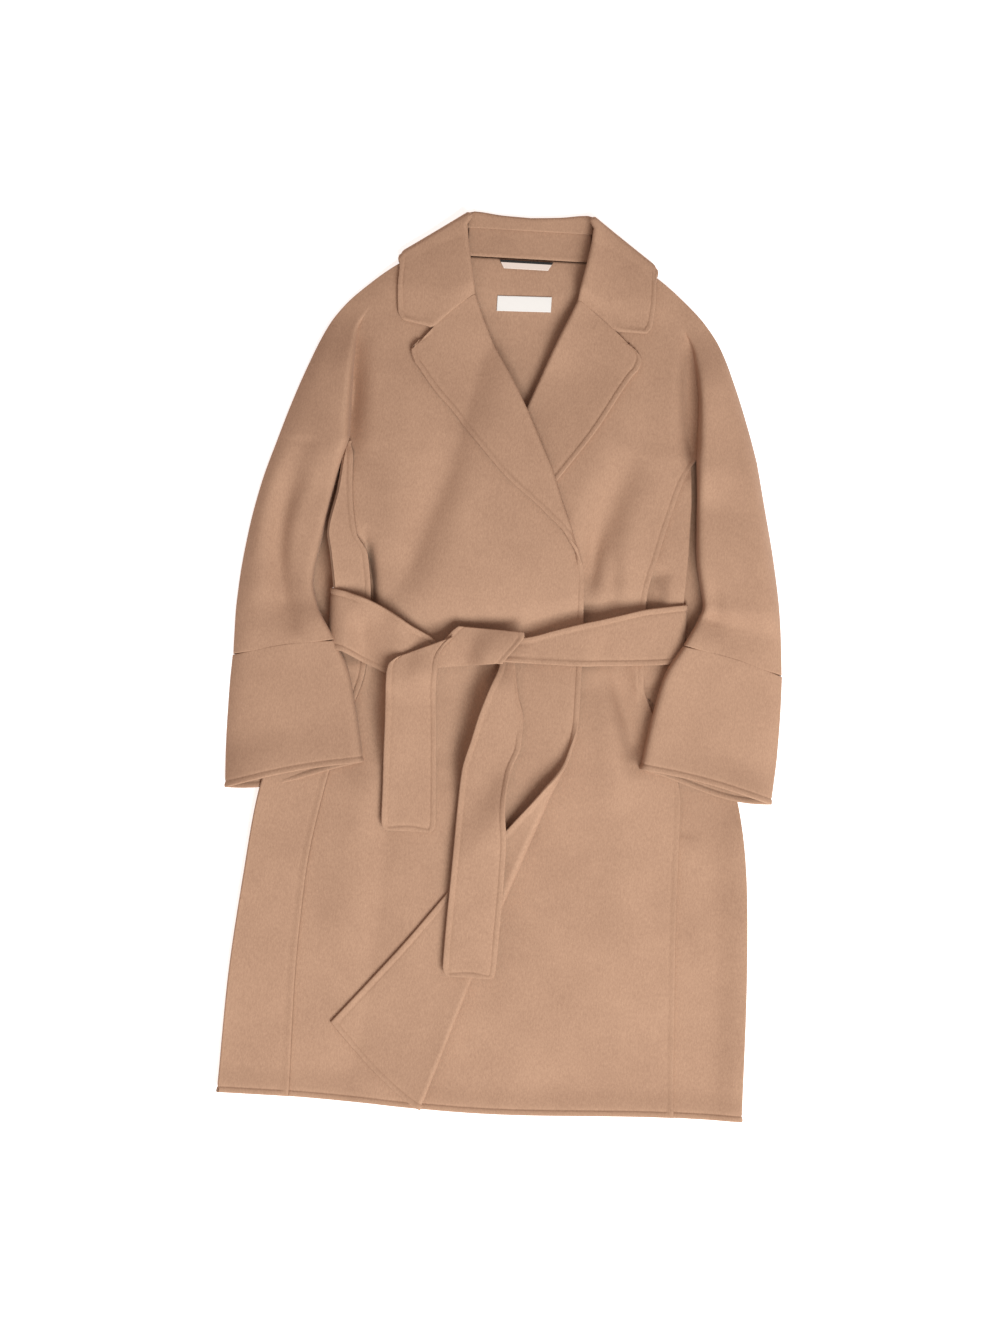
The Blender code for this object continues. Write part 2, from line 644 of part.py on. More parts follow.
def build_collar():
    """The fall: flat under the back, round the shoulder, then on top of the front to the notch."""
    stand = HALF + FALL_RISE
    rows = []
    for n, (roll, roll_up, edge, edge_up) in enumerate(FALL_BACK):
        row = []
        for share in FALL_SHARES:
            row.append(Vector((roll + (edge - roll) * share, roll_up + (edge_up - roll_up) * share, HALF)))
        if n < len(FALL_BACK) - 1:
            row[0] = Vector((roll, roll_up - FALL_LIP, stand))
            row[1] = Vector((roll, roll_up - FALL_TURN, stand))
            row[2] = Vector((roll, roll_up, 0.5 * (stand + HALF)))
            row[3] = Vector((roll, roll_up - FALL_TURN, HALF))
        rows.append(row)
    corner = Vector(FALL_CORNER)
    point = Vector(FALL_POINT)
    outward = Vector((corner.y - point.y, point.x - corner.x)).normalized()
    for k in range(FALL_BEND_STEPS + 1):
        turn = -0.5 * math.pi + math.pi * k / FALL_BEND_STEPS
        row = []
        for share in FALL_SHARES:
            fold = corner + (point - corner) * share
            inside = fold - outward * FALL_INSET
            radius = 0.5 * (leaf_height(inside.x, inside.y) - HALF)
            place = fold + outward * (radius * (math.cos(turn) - 1.0))
            row.append(Vector((place.x, place.y, HALF + radius * (1.0 + math.sin(turn)))))
        rows.append(row)
    stations = between(FALL_FRONT, 2)
    for roll, roll_up, edge, edge_up in stations:
        row = []
        for share in FALL_SHARES:
            place = Vector((roll + (edge - roll) * share, roll_up + (edge_up - roll_up) * share))
            row.append(Vector((place.x, place.y, leaf_height(place.x, place.y))))
        rows.append(row)
    start = Vector((stations[-1][0], stations[-1][1]))
    end = Vector((stations[-1][2], stations[-1][3]))
    notch = Vector(FALL_NOTCH)
    bow = Vector((start.y - notch.y, notch.x - start.x)).normalized() * FALL_BOW
    for share, spot in zip(FALL_SHARES, rows[-1]):
        if share < FALL_NOTCH_SHARE:
            part = share / FALL_NOTCH_SHARE
            place = start + (notch - start) * part + bow * (4.0 * part * (1.0 - part))
        else:
            place = notch + (end - notch) * ((share - FALL_NOTCH_SHARE) / (1.0 - FALL_NOTCH_SHARE))
        spot.x = place.x
        spot.y = place.y
        spot.z = leaf_height(place.x, place.y)
    return sheet("collar", [rows], CAMEL, mirrored=True)


def build_stand():
    rows = []
    for up in (STAND_LOW, 0.5 * (STAND_LOW + STAND_HIGH), STAND_HIGH):
        xs = [STAND_HALF * share for share in BACK_SHARES]
        rows.append([Vector((x, up, HALF + FALL_RISE)) for x in xs])
    return sheet("collar_stand", [rows], CAMEL, mirrored=True)


def build_belt(trees):
    """The stretch from the knot's right, round under the back, to the knot's left."""
    rows = []
    for side, runs in ((-1.0, BELT_RIGHT), (1.0, BELT_LEFT)):
        half = []
        for run in runs[::-1]:
            ups = [run.low + (run.top - run.low) * share for share in BELT_SHARES]
            half.append([Vector((run.x, up, clearance(run.x, up, trees, NEAR, BELT_REACH))) for up in ups])
        last = runs[0]
        height = max(point.z for point in half[-1])
        middle = 0.5 * (height + HALF)
        for k in range(1, BELT_BEND_STEPS):
            turn = math.pi * k / BELT_BEND_STEPS
            x = last.x + side * (BELT_SIDE - abs(last.x)) * math.sin(turn)
            z = middle + (height - middle) * math.cos(turn)
            ups = [last.low + (last.top - last.low) * share for share in BELT_SHARES]
            half.append([Vector((x, up, z)) for up in ups])
        rows += half if side < 0.0 else half[::-1]
        if side < 0.0:
            for k in range(BELT_BACK_RUNS + 1):
                share = k / BELT_BACK_RUNS
                x = BELT_RIGHT[0].x + (BELT_LEFT[0].x - BELT_RIGHT[0].x) * share
                low = BELT_RIGHT[0].low + (BELT_LEFT[0].low - BELT_RIGHT[0].low) * share
                top = BELT_RIGHT[0].top + (BELT_LEFT[0].top - BELT_RIGHT[0].top) * share
                rows.append([Vector((x, low + (top - low) * s, HALF)) for s in BELT_SHARES])
    return sheet("belt_round", [rows], CAMEL)


def strip_rows(strips, trees):
    """Rows of a strip that lies on finished pieces."""
    rows = []
    for left, left_up, right, right_up in strips:
        row = []
        for share in TAIL_SHARES:
            x = left + (right - left) * share
            up = left_up + (right_up - left_up) * share
            row.append(Vector((x, up, clearance(x, up, trees, NEAR))))
        rows.append(row)
    return rows


def build_knot(trees):
    rows = strip_rows(KNOT, trees)
    count = len(rows) - 1
    for i, row in enumerate(rows):
        for point in row:
            point.z += KNOT_PUFF * math.sin(math.pi * i / count) ** KNOT_ROUND
    return sheet("belt_knot", [rows], CAMEL)


def on_back(x, up, trees):
    """A point on the middle of a ribbon that lies on the back panel."""
    return Vector((x, up, clearance(x, up, trees, RIBBON) - HALF + 0.5 * RIBBON))


def build_loop(trees):
    """A flat ribbon whose ends go into the neck seam."""
    points = [Vector(place) for place in LOOP_PATH]
    rows = []
    for i, point in enumerate(points):
        before = points[max(i - 1, 0)]
        after = points[min(i + 1, len(points) - 1)]
        along = (after - before).normalized()
        across = Vector((-along.y, along.x)) * (0.5 * LOOP_WIDTH)
        places = (point - across, point, point + across)
        rows.append([on_back(place.x, place.y, trees) for place in places])
    return sheet("hanger_loop", [rows], CREAM, thickness=RIBBON)


def build_label(trees):
    rows = []
    for up in (LABEL_LOW, LABEL_HIGH):
        rows.append([on_back(x, up, trees) for x in (LABEL_LEFT, LABEL_RIGHT)])
    return sheet("label", [rows], CREAM, thickness=RIBBON)


for old in list(bpy.data.objects):
    bpy.data.objects.remove(old)
COAT = bpy.data.collections.new("belted_long_coat")
bpy.context.scene.collection.children.link(COAT)
FRAME = bpy.data.objects.new("middle_of_the_length", None)
COAT.objects.link(FRAME)

back = build_back()
front_left = build_front("front_left", 1.0, UNDER_TURN, front_height)
under = tops([front_left])
front_right = build_front(
    "front_right",
    -1.0,
    OVER_TURN,
    lambda x, up: max(front_height(x, up), clearance(x, up, under, WIDE) + GAP),
)
panels = [build_side_panel("side_panel_right", -1.0), build_side_panel("side_panel_left", 1.0)]
build_cuff("cuff_right", -1.0)
build_cuff("cuff_left", 1.0)
build_collar()
build_stand()
fronts = [front_left, front_right]
long_tail = sheet("belt_tail_long", [strip_rows(between(TAIL_LONG, 2), tops(fronts))], CAMEL)
belt = build_belt(tops(fronts + panels + [long_tail]))
short_tail = sheet("belt_tail_short", [strip_rows(TAIL_SHORT, tops(fronts + [belt]))], CAMEL)
build_knot(tops(fronts + [belt, long_tail, short_tail]))
build_loop(tops([back]))
build_label(tops([back]))
FRAME.location = (0.0, -MIDDLE_UP, 0.0)
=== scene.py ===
"""Looks of a belted long coat of double-faced wool, laid flat on its back with the belt tied.

Metres. +Z points up out of the coat's front, +Y runs from the hem to the collar and +X is the
wearer's left. Heights along the coat ("up") are measured from the hem. Each panel is a fine sheet
worked out from short tables, given the cloth's thickness, with rounded and felled edges.
"""

import math
from collections import namedtuple

import bpy
import numpy as np
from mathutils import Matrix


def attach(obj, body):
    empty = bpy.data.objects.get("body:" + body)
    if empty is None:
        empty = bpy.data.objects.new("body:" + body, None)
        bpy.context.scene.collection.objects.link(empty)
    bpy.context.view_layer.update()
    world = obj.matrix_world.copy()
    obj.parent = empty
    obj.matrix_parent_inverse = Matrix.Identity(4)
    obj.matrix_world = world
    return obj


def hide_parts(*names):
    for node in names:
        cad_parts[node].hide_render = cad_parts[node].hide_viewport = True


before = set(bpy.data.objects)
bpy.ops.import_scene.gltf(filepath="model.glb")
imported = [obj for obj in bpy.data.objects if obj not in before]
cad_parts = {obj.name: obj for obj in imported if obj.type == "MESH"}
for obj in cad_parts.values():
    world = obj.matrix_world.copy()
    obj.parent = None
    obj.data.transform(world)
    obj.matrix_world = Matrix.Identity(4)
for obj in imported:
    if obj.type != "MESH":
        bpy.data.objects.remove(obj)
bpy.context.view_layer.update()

bl_info = {
    "name": "Belted long coat",
    "version": (1, 0, 0),
    "blender": (4, 5, 0),
    "location": "View3D > Sidebar > Coat",
    "description": "Lays out a belted wool coat over its packed solids, with stage, light and camera",
    "category": "Object",
}

# Cloth and layers.
CLOTH = 0.0024
RIBBON = 0.0010
GAP = 0.0003
HALF = CLOTH / 2
LAYER = CLOTH + GAP
WELD = 0.00002
TINY = 1e-12

# Places along the coat, up from the hem.
NOTCH_UP = 0.757
GORGE_UP = 0.931
NECK_UP = 0.9785
NECK_LAP = 0.0020
NECK_HALF = 0.0715
SHOULDER_UP = 0.998
MIDDLE_UP = 0.5083

# The belt's run under the back, and the collar's fall under the neck, lift the back panel.
BELT_LOW = 0.512
BELT_HIGH = 0.592
BELT_SLOPE = 0.030
FALL_WIDTH = 0.150
FALL_UP = 0.940
FALL_SLOPE = 0.035
FALL_RISE = 0.0035

# A sleeve's lower layer rises off the floor to lie on the belt and the skirt.
ARM_RISE = 0.0180
ARM_RISE_FROM = 0.602
ARM_RISE_OVER = 0.062
ARM_SLOPE = 0.058
ARM_REACH = 0.068
UNDERARM_LAP = 0.0025
UNDERARM_LOW = 0.530
UNDERARM_OVER = 0.030
BESIDE_LOW = 0.524
BESIDE_OVER = 0.016
BESIDE_BELT = 0.2046
BESIDE_BELT_UPS = {-1.0: 0.5882, 1.0: 0.5912}
BESIDE_BELT_OVER = 0.0024

# Half the body on each side. Seam is the front seam of the underarm panel, and above the notch the
# valley between body and sleeve. Edge is the side fold. The last three are the room between front
# and back at the centre, at the side of the chest and at the seam.
Body = namedtuple("Body", "up seam edge centre side rim")
BODY_RIGHT = (
    Body(-0.010, 0.2205, 0.3030, 0.0010, 0.0025, 0.0038),
    Body(0.120, 0.2215, 0.2985, 0.0030, 0.0045, 0.0040),
    Body(0.250, 0.2160, 0.2870, 0.0050, 0.0080, 0.0060),
    Body(0.362, 0.1985, 0.2720, 0.0100, 0.0130, 0.0080),
    Body(0.440, 0.1760, 0.2250, 0.0130, 0.0170, 0.0090),
    Body(0.500, 0.1600, 0.1950, 0.0090, 0.0110, 0.0050),
    Body(0.535, 0.1592, 0.1980, 0.0030, 0.0060, 0.0040),
    Body(0.575, 0.1590, 0.2005, 0.0070, 0.0095, 0.0110),
    Body(0.628, 0.1655, 0.2085, 0.0145, 0.0175, 0.0180),
    Body(0.650, 0.1790, 0.2125, 0.0175, 0.0200, 0.0185),
    Body(0.700, 0.1870, 0.2040, 0.0185, 0.0220, 0.0160),
    Body(0.745, 0.1890, 0.1990, 0.0150, 0.0215, 0.0140),
    Body(0.757, 0.1945, 0.1965, 0.0135, 0.0210, 0.0140),
    Body(0.820, 0.1950, 0.2000, 0.0055, 0.0175, 0.0150),
    Body(0.880, 0.1930, 0.2000, 0.0020, 0.0110, 0.0120),
    Body(0.920, 0.1720, 0.2000, 0.0025, 0.0080, 0.0080),
    Body(0.950, 0.1400, 0.2000, 0.0025, 0.0040, 0.0040),
    Body(0.998, 0.0745, 0.2000, 0.0010, 0.0010, 0.0010),
)
BODY_LEFT = (
    Body(-0.010, 0.2235, 0.3015, 0.0010, 0.0025, 0.0038),
    Body(0.120, 0.2175, 0.2995, 0.0030, 0.0040, 0.0040),
    Body(0.250, 0.2125, 0.2935, 0.0040, 0.0070, 0.0060),
    Body(0.362, 0.2105, 0.2770, 0.0100, 0.0130, 0.0080),
    Body(0.440, 0.1840, 0.2250, 0.0130, 0.0170, 0.0090),
    Body(0.500, 0.1600, 0.1950, 0.0090, 0.0110, 0.0050),
    Body(0.535, 0.1592, 0.1975, 0.0030, 0.0060, 0.0040),
    Body(0.590, 0.1580, 0.2010, 0.0070, 0.0090, 0.0090),
    Body(0.650, 0.1700, 0.2030, 0.0175, 0.0195, 0.0150),
    Body(0.700, 0.1830, 0.2030, 0.0185, 0.0215, 0.0145),
    Body(0.730, 0.1920, 0.2015, 0.0165, 0.0212, 0.0148),
    Body(0.745, 0.1985, 0.2005, 0.0150, 0.0210, 0.0152),
    Body(0.752, 0.2028, 0.2000, 0.0140, 0.0210, 0.0160),
    Body(0.757, 0.2065, 0.1990, 0.0135, 0.0210, 0.0165),
    Body(0.775, 0.2070, 0.2000, 0.0110, 0.0200, 0.0165),
    Body(0.815, 0.2060, 0.2000, 0.0055, 0.0175, 0.0165),
    Body(0.880, 0.1960, 0.2000, 0.0020, 0.0110, 0.0125),
    Body(0.920, 0.1720, 0.2000, 0.0025, 0.0080, 0.0080),
    Body(0.950, 0.1400, 0.2000, 0.0025, 0.0040, 0.0040),
    Body(0.998, 0.0745, 0.2000, 0.0010, 0.0010, 0.0010),
)
BODIES = {-1.0: BODY_RIGHT, 1.0: BODY_LEFT}

# How the two halves of the body meet, and how chest and shoulder are rounded.
SIDE_BLEND = 0.060
SMOOTH_FROM = 0.835
SMOOTH_OVER = 0.075
SHOULDER_ROUND = 5
CHEST_SHARE = 0.68
BACK_SEAM_SHARE = 0.35

# Shoulder and overarm line down to the notch, with the room inside the sleeve's head.
Shoulder = namedtuple("Shoulder", "up outer puff neck room")
SHOULDER = (
    Shoulder(0.757, 0.2752, 0.0150, 0.060, 0.0180),
    Shoulder(0.790, 0.2645, 0.0130, 0.060, 0.0170),
    Shoulder(0.840, 0.2460, 0.0105, 0.060, 0.0150),
    Shoulder(0.890, 0.2235, 0.0090, 0.060, 0.0110),
    Shoulder(0.913, 0.2070, 0.0070, 0.060, 0.0090),
    Shoulder(0.931, 0.1890, 0.0050, 0.060, 0.0070),
    Shoulder(0.962, 0.1500, 0.0020, 0.066, 0.0040),
    Shoulder(0.985, 0.1080, 0.0010, 0.070, 0.0020),
    Shoulder(0.998, 0.0785, 0.0000, 0.072, 0.0010),
)

# Sleeve below the notch, and cuff: underarm point, overarm point, and the room inside.
Arm = namedtuple("Arm", "inner inner_up outer outer_up puff")
SLEEVES = {
    -1.0: (
        Arm(0.1945, 0.757, 0.2752, 0.757, 0.0170),
        Arm(0.2070, 0.708, 0.2915, 0.703, 0.0200),
        Arm(0.2175, 0.652, 0.3030, 0.648, 0.0210),
        Arm(0.2265, 0.596, 0.3105, 0.590, 0.0190),
        Arm(0.2200, 0.566, 0.3130, 0.546, 0.0120),
        Arm(0.1975, 0.527, 0.3130, 0.504, 0.0090),
    ),
    1.0: (
        Arm(0.2065, 0.757, 0.2752, 0.757, 0.0170),
        Arm(0.2095, 0.712, 0.2875, 0.703, 0.0260),
        Arm(0.2130, 0.645, 0.3000, 0.648, 0.0290),
        Arm(0.2235, 0.590, 0.3105, 0.590, 0.0250),
        Arm(0.2190, 0.574, 0.3150, 0.552, 0.0120),
        Arm(0.2035, 0.543, 0.3180, 0.515, 0.0090),
    ),
}
CUFFS = {
    -1.0: (
        Arm(0.1970, 0.5257, 0.3130, 0.5027, 0.0090),
        Arm(0.1825, 0.498, 0.3145, 0.466, 0.0080),
        Arm(0.1690, 0.448, 0.3150, 0.412, 0.0080),
        Arm(0.1572, 0.388, 0.3125, 0.350, 0.0090),
    ),
    1.0: (
        Arm(0.2030, 0.5417, 0.3180, 0.5137, 0.0090),
        Arm(0.1835, 0.506, 0.3185, 0.474, 0.0080),
        Arm(0.1715, 0.454, 0.3175, 0.422, 0.0080),
        Arm(0.1620, 0.398, 0.3130, 0.366, 0.0090),
    ),
}

# Cuff mouths, the cross-section of sleeves and cuffs, and how their folds fade at both ends.
CUFF_EDGE = 0.0017
CUFF_LIP = 0.013
CUFF_LIP_FROM = 0.5
CUFF_BOW = 0.004
CUFF_ROUND = 0.5
PUFF_INNER = 36
PUFF_OUTER = 6
PUFF_ROUND = {-1.0: 3.0, 1.0: 6.0}
PUFF_ROUND_END = 0.080
HEAD_SHARES = {-1.0: 1.0, 1.0: 1.35}
CARRY_OVER = 0.060
EDGE_LIFT = 0.0040
EDGE_LIFT_OVER = 0.045
EDGE_LIFT_END = 0.030
FOLD_EASE = 4.0
FOLD_END = 0.025
CUFF_REACH = 0.0009
VALLEY_EASE = 14.0

# Each front's turned edge: where the fold lies across the coat (positive on the front's own side),
# how far the free edge shifts up along the fold, the turned width, how far it turns (1 is folded
# flat) and the roll's radius.
Turn = namedtuple("Turn", "up fold along width turned radius")
OVER_TURN = (
    Turn(0.000, 0.0700, 0.049, 0.137, 1.0, 0.0030),
    Turn(0.120, 0.0280, 0.034, 0.096, 1.0, 0.0035),
    Turn(0.205, -0.0020, 0.025, 0.071, 1.0, 0.0040),
    Turn(0.300, -0.0360, 0.015, 0.044, 0.94, 0.0065),
    Turn(0.360, -0.0570, 0.008, 0.028, 0.80, 0.0075),
    Turn(0.410, -0.0740, 0.003, 0.014, 0.45, 0.0075),
    Turn(0.455, -0.0800, 0.000, 0.008, 0.0, 0.0070),
    Turn(0.520, -0.0800, 0.000, 0.008, 0.0, 0.0040),
    Turn(0.615, -0.0760, 0.000, 0.008, 0.0, 0.0030),
    Turn(0.645, -0.0720, 0.000, 0.010, 0.5, 0.0030),
    Turn(0.662, -0.0680, 0.000, 0.014, 1.0, 0.0030),
    Turn(0.697, -0.0540, -0.002, 0.030, 1.0, 0.0030),
    Turn(0.733, -0.0405, -0.004, 0.051, 1.0, 0.0030),
    Turn(0.762, -0.0265, -0.001, 0.064, 1.0, 0.0030),
    Turn(0.804, -0.0060, 0.002, 0.078, 1.0, 0.0030),
    Turn(0.835, 0.0110, 0.003, 0.085, 1.0, 0.0030),
    Turn(0.876, 0.0360, 0.0037, 0.0945, 1.0, 0.0030),
    Turn(0.890, 0.0425, -0.0048, 0.0976, 1.0, 0.0030),
    Turn(0.905, 0.0495, -0.0143, 0.0970, 1.0, 0.0030),
    Turn(0.918, 0.0545, -0.0216, 0.0932, 1.0, 0.0030),
    Turn(0.931, 0.0600, -0.0318, 0.0866, 1.0, 0.0030),
)
UNDER_TURN = (
    Turn(0.000, -0.0800, 0.000, 0.004, 0.0, 0.0025),
    Turn(0.565, -0.0800, 0.000, 0.004, 0.0, 0.0025),
    Turn(0.592, -0.0780, 0.000, 0.006, 0.6, 0.0025),
    Turn(0.612, -0.0705, 0.002, 0.018, 1.0, 0.0020),
    Turn(0.652, -0.0550, 0.005, 0.043, 1.0, 0.0020),
    Turn(0.700, -0.0350, 0.008, 0.060, 1.0, 0.0020),
    Turn(0.755, -0.0120, 0.008, 0.075, 1.0, 0.0020),
    Turn(0.804, 0.0080, 0.007, 0.087, 1.0, 0.0020),
    Turn(0.883, 0.0392, 0.0042, 0.1022, 1.0, 0.0030),
    Turn(0.890, 0.0422, 0.0027, 0.1039, 1.0, 0.0030),
    Turn(0.905, 0.0489, -0.0041, 0.1032, 1.0, 0.0030),
    Turn(0.918, 0.0545, -0.0120, 0.0974, 1.0, 0.0030),
    Turn(0.931, 0.0600, -0.0233, 0.0861, 1.0, 0.0030),
)
TURNS = {-1.0: OVER_TURN, 1.0: UNDER_TURN}

# Roll of the turned edges, and how far lapels and the folded corner stand off the front.
GORGE_BOW = 1.5
ROLL_EASE = 0.022
TANGENT = 0.008
SETTLED = 0.75
LAPEL_STANDS = {-1.0: 0.0035, 1.0: 0.0004}
FLAP_STAND = 0.0005
LAPEL_FROM = 0.55

# Soft ridges (positive) and troughs (negative) in the cloth: both ends in x and up, how far the
# middle bows towards +X on a crease that runs down the coat, the width and the height.
Crease = namedtuple("Crease", "x up to_x to_up bow width rise")
RIDGES = (
    Crease(-0.138, 0.690, -0.120, 0.575, 0.0, 0.020, 0.006),
    Crease(-0.090, 0.640, -0.085, 0.585, 0.0, 0.018, 0.004),
    Crease(0.142, 0.700, 0.122, 0.580, 0.0, 0.020, 0.006),
    Crease(0.110, 0.760, 0.060, 0.620, 0.0, 0.024, 0.004),
    Crease(-0.128, 0.480, -0.150, 0.330, 0.0, 0.022, 0.006),
    Crease(0.125, 0.500, 0.140, 0.340, 0.0, 0.022, 0.006),
    Crease(-0.150, 0.380, -0.170, 0.150, 0.0, 0.028, 0.004),
    Crease(0.150, 0.360, 0.160, 0.120, 0.0, 0.028, 0.004),
)
BODY_CREASES = (
    Crease(-0.076, 0.770, -0.130, 0.590, 0.004, 0.024, -0.0075),
    Crease(0.136, 0.765, 0.090, 0.605, -0.009, 0.023, -0.0120),
    Crease(0.096, 0.670, 0.091, 0.590, 0.0, 0.010, -0.0080),
    Crease(0.120, 0.650, 0.119, 0.570, 0.0, 0.010, -0.0060),
    Crease(-0.140, 0.548, 0.020, 0.540, 0.0, 0.024, -0.0090),
    Crease(0.000, 0.552, 0.180, 0.597, 0.0, 0.012, -0.0090),
    Crease(-0.148, 0.515, -0.138, 0.385, 0.0, 0.012, -0.0160),
    Crease(-0.026, 0.525, -0.050, 0.375, 0.0, 0.011, -0.0140),
    Crease(-0.050, 0.530, -0.060, 0.385, 0.0, 0.019, -0.0120),
    Crease(0.128, 0.525, 0.156, 0.405, 0.0, 0.013, -0.0190),
    Crease(0.1925, 0.892, 0.2020, 0.745, 0.0, 0.0105, -0.0300),
    Crease(-0.196, 0.885, -0.194, 0.740, 0.0, 0.0160, -0.0160),
    Crease(-0.1690, 0.648, -0.1575, 0.560, 0.0, 0.0080, -0.0200),
    Crease(0.178, 0.522, 0.150, 0.405, 0.0, 0.0110, -0.0130),
)
SLEEVE_CREASES = (
    Crease(-0.236, 0.705, -0.222, 0.522, -0.025, 0.010, 0.0040),
    Crease(-0.246, 0.748, -0.234, 0.520, -0.026, 0.018, -0.0150),
    Crease(0.229, 0.622, 0.233, 0.565, 0.0, 0.011, -0.0060),
)
RIDGE_END = 0.06
RIDGE_FADE = 6

# Mesh steps: rows and columns, and the close ones beside a felled, sewn or rolled edge.
FELL_STEPS = (
    0.0, 0.0002, 0.0006, 0.0012, 0.0022, 0.0036, 0.0050,
    0.0058, 0.0064, 0.0070, 0.0078, 0.0094, 0.0120,
)
SEAM_STEPS = (0.0, 0.0002, 0.0006, 0.0012, 0.0024, 0.0044)
TAPE_STEPS = SEAM_STEPS[:4]
ROLL_STEPS = tuple(0.0012 * k for k in range(11))
ROW_STEP = 0.0042
COLUMN_STEP = 0.0046
TURN_WIDTH = 0.100
FRONT_WIDTH = 0.190
ARM_WIDTH = 0.095
ARM_LENGTH = 0.25
ARM_ROWS = 12
BACK_WIDTH = 0.20
BACK_STEP = 0.008
BACK_TOP_ROWS = 8
BACK_UPPER_ROWS = 40
BACK_ARM_ROWS = 36
CUFF_LENGTH = 0.15
CUFF_STEP = 0.004
CUFF_COLUMNS = 36
PANEL_WIDTH = 0.08
PANEL_STEP = 0.004
LIP_STEP = 0.003
FALL_BACK_ROWS = 6
GORGE_POINTS = 200
BELT_STEP = 0.004
STRIP_ROWS = 6
TAPE_STEP = 0.003
TAPE_ROW_STEP = 0.001

# Felled edges: the band turned in along an edge, and the line where it is sewn down.
FELL_WIDTH = 0.0064
FELL_PLUMP = 0.00085
FELL_GROOVE = 0.00060
FELL_LINE = 0.0017

# The hem's rise and dip, the underarm panels' roll, the left seam's pocket and slit.
HEM_RISE = 0.0045
HEM_RISE_OVER = 0.035
HEM_DIP = 0.008
HEM_DIP_HALF = 0.24
HEM_DIP_UP = 0.16
PANEL_LEVEL = 0.8
PANEL_UPRIGHT = 0.75
PANEL_LAPS = {-1.0: 0.0005, 1.0: 0.0025}
PANEL_FOLD_SHARES = {-1.0: 1.10, 1.0: 0.95}
PANEL_EDGE_RISE = 0.0080
PANEL_EDGE_OVER = 0.040
PANEL_EDGE_TOP = 0.380
PANEL_EDGE_FADE = 0.060
PANEL_TUCK = 0.0003
PANEL_TUCK_SHARE = 0.3
PANEL_LEAST = 0.004
PANEL_CROSS = 0.020
PANEL_BELT_LOW = 0.494
PANEL_BELT_HIGH = 0.574
PANEL_DIP_MOST = 0.002
POCKET = (0.318, 0.500)
POCKET_DEPTH = 0.0022
POCKET_END = 0.010
SLIT = (0.560, 0.634)
SLIT_DEPTH = 0.0095
SLIT_SHARE = 0.38
SLIT_END = 0.014
SEAM = 0.0004

# Collar fall: the roll edge and the style edge from the centre back to the front end.
Fall = namedtuple("Fall", "roll roll_up edge edge_up")
FALL_BACK = (
    Fall(0.000, 1.0230, 0.000, 0.946),
    Fall(0.034, 1.0248, 0.044, 0.944),
    Fall(0.056, 1.0276, 0.094, 0.945),
    Fall(0.065, 1.0282, 0.128, 0.955),
)
FALL_FRONT = (
    Fall(0.0735, 1.0140, 0.1478, 0.9560),
    Fall(0.0715, 0.9950, 0.1485, 0.938),
    Fall(0.0670, 0.9700, 0.1475, 0.918),
    Fall(0.0625, 0.9480, 0.1460, 0.906),
    Fall(0.0595, 0.9325, 0.1400, 0.8975),
)
FALL_NOTCH = 0.1062
FALL_NOTCH_SHARE = 0.57
FALL_CORNER = (0.0715, 1.0264)
COLLAR_TILT = 0.018
FALL_POINT = (0.1480, 0.9750)
FALL_LEAN = 0.35
FALL_ROUND = 0.007
FALL_LIP = 0.0162
FALL_TURN = 0.0017
FALL_INSET = 0.012
FALL_ROWS = 8
FALL_BEND_STEPS = 12
CURL_STEPS = 10
CURL_RADIUS = 0.0030
CURL_LEAST = 0.0004
LIP_ENDS = ((0.0705, 1.0270), (0.0740, 1.0238))
STAND_UP = 1.0088
LIP_BEND_STEPS = 8
GORGE_LAP = 0.0015
GORGE_LAP_OVER = 0.0060
STAND_LAP = 0.0030
LEAF_LEAST = 0.0102
LEAF_SLACK = 0.0016
LEAF_ROLLS = {-1.0: 0.0060, 1.0: 0.0110}
LEAF_ROLL_CURVE = 3
LEAF_WIDTH = 0.088
LEAF_STEP = 0.004
GORGE_EASE = 0.10
STAND_HEIGHT = 0.036
STAND_STEP = 0.005
STAND_ROW_STEP = 0.003
STAND_HALF = 0.0708
STAND_EDGE = 0.0006
STAND_RIDGE = 0.0009
STAND_RIDGE_IN = 0.0022
STAND_THIN_OVER = 0.0050

# Belt round the waist: across, top and bottom edges of its two front runs.
Run = namedtuple("Run", "x top low")
BELT_RIGHT = (
    Run(-0.187, 0.5830, 0.5135),
    Run(-0.177, 0.5800, 0.5088),
    Run(-0.165, 0.5765, 0.5030),
    Run(-0.147, 0.5690, 0.4960),
    Run(-0.130, 0.5600, 0.4890),
    Run(-0.110, 0.5480, 0.4830),
    Run(-0.088, 0.5370, 0.4790),
    Run(-0.080, 0.5310, 0.4790),
)
BELT_LEFT = (
    Run(0.187, 0.5872, 0.5200),
    Run(0.174, 0.5850, 0.5185),
    Run(0.157, 0.5818, 0.5170),
    Run(0.131, 0.5742, 0.5150),
    Run(0.108, 0.5675, 0.5135),
    Run(0.085, 0.5612, 0.5120),
    Run(0.055, 0.5520, 0.5120),
    Run(0.025, 0.5425, 0.5120),
    Run(-0.005, 0.5380, 0.5120),
    Run(-0.035, 0.5380, 0.5130),
    Run(-0.058, 0.5360, 0.5130),
)
BELT_SIDE = 0.2040
BELT_REACH = 0.1975
BELT_WIDTH = 0.062
BELT_BEND_STEPS = 14
BELT_END_RISE = 0.0030
BELT_END_OVER = 0.026
BELT_BACK_RUNS = 40
BELT_ROWS = 5

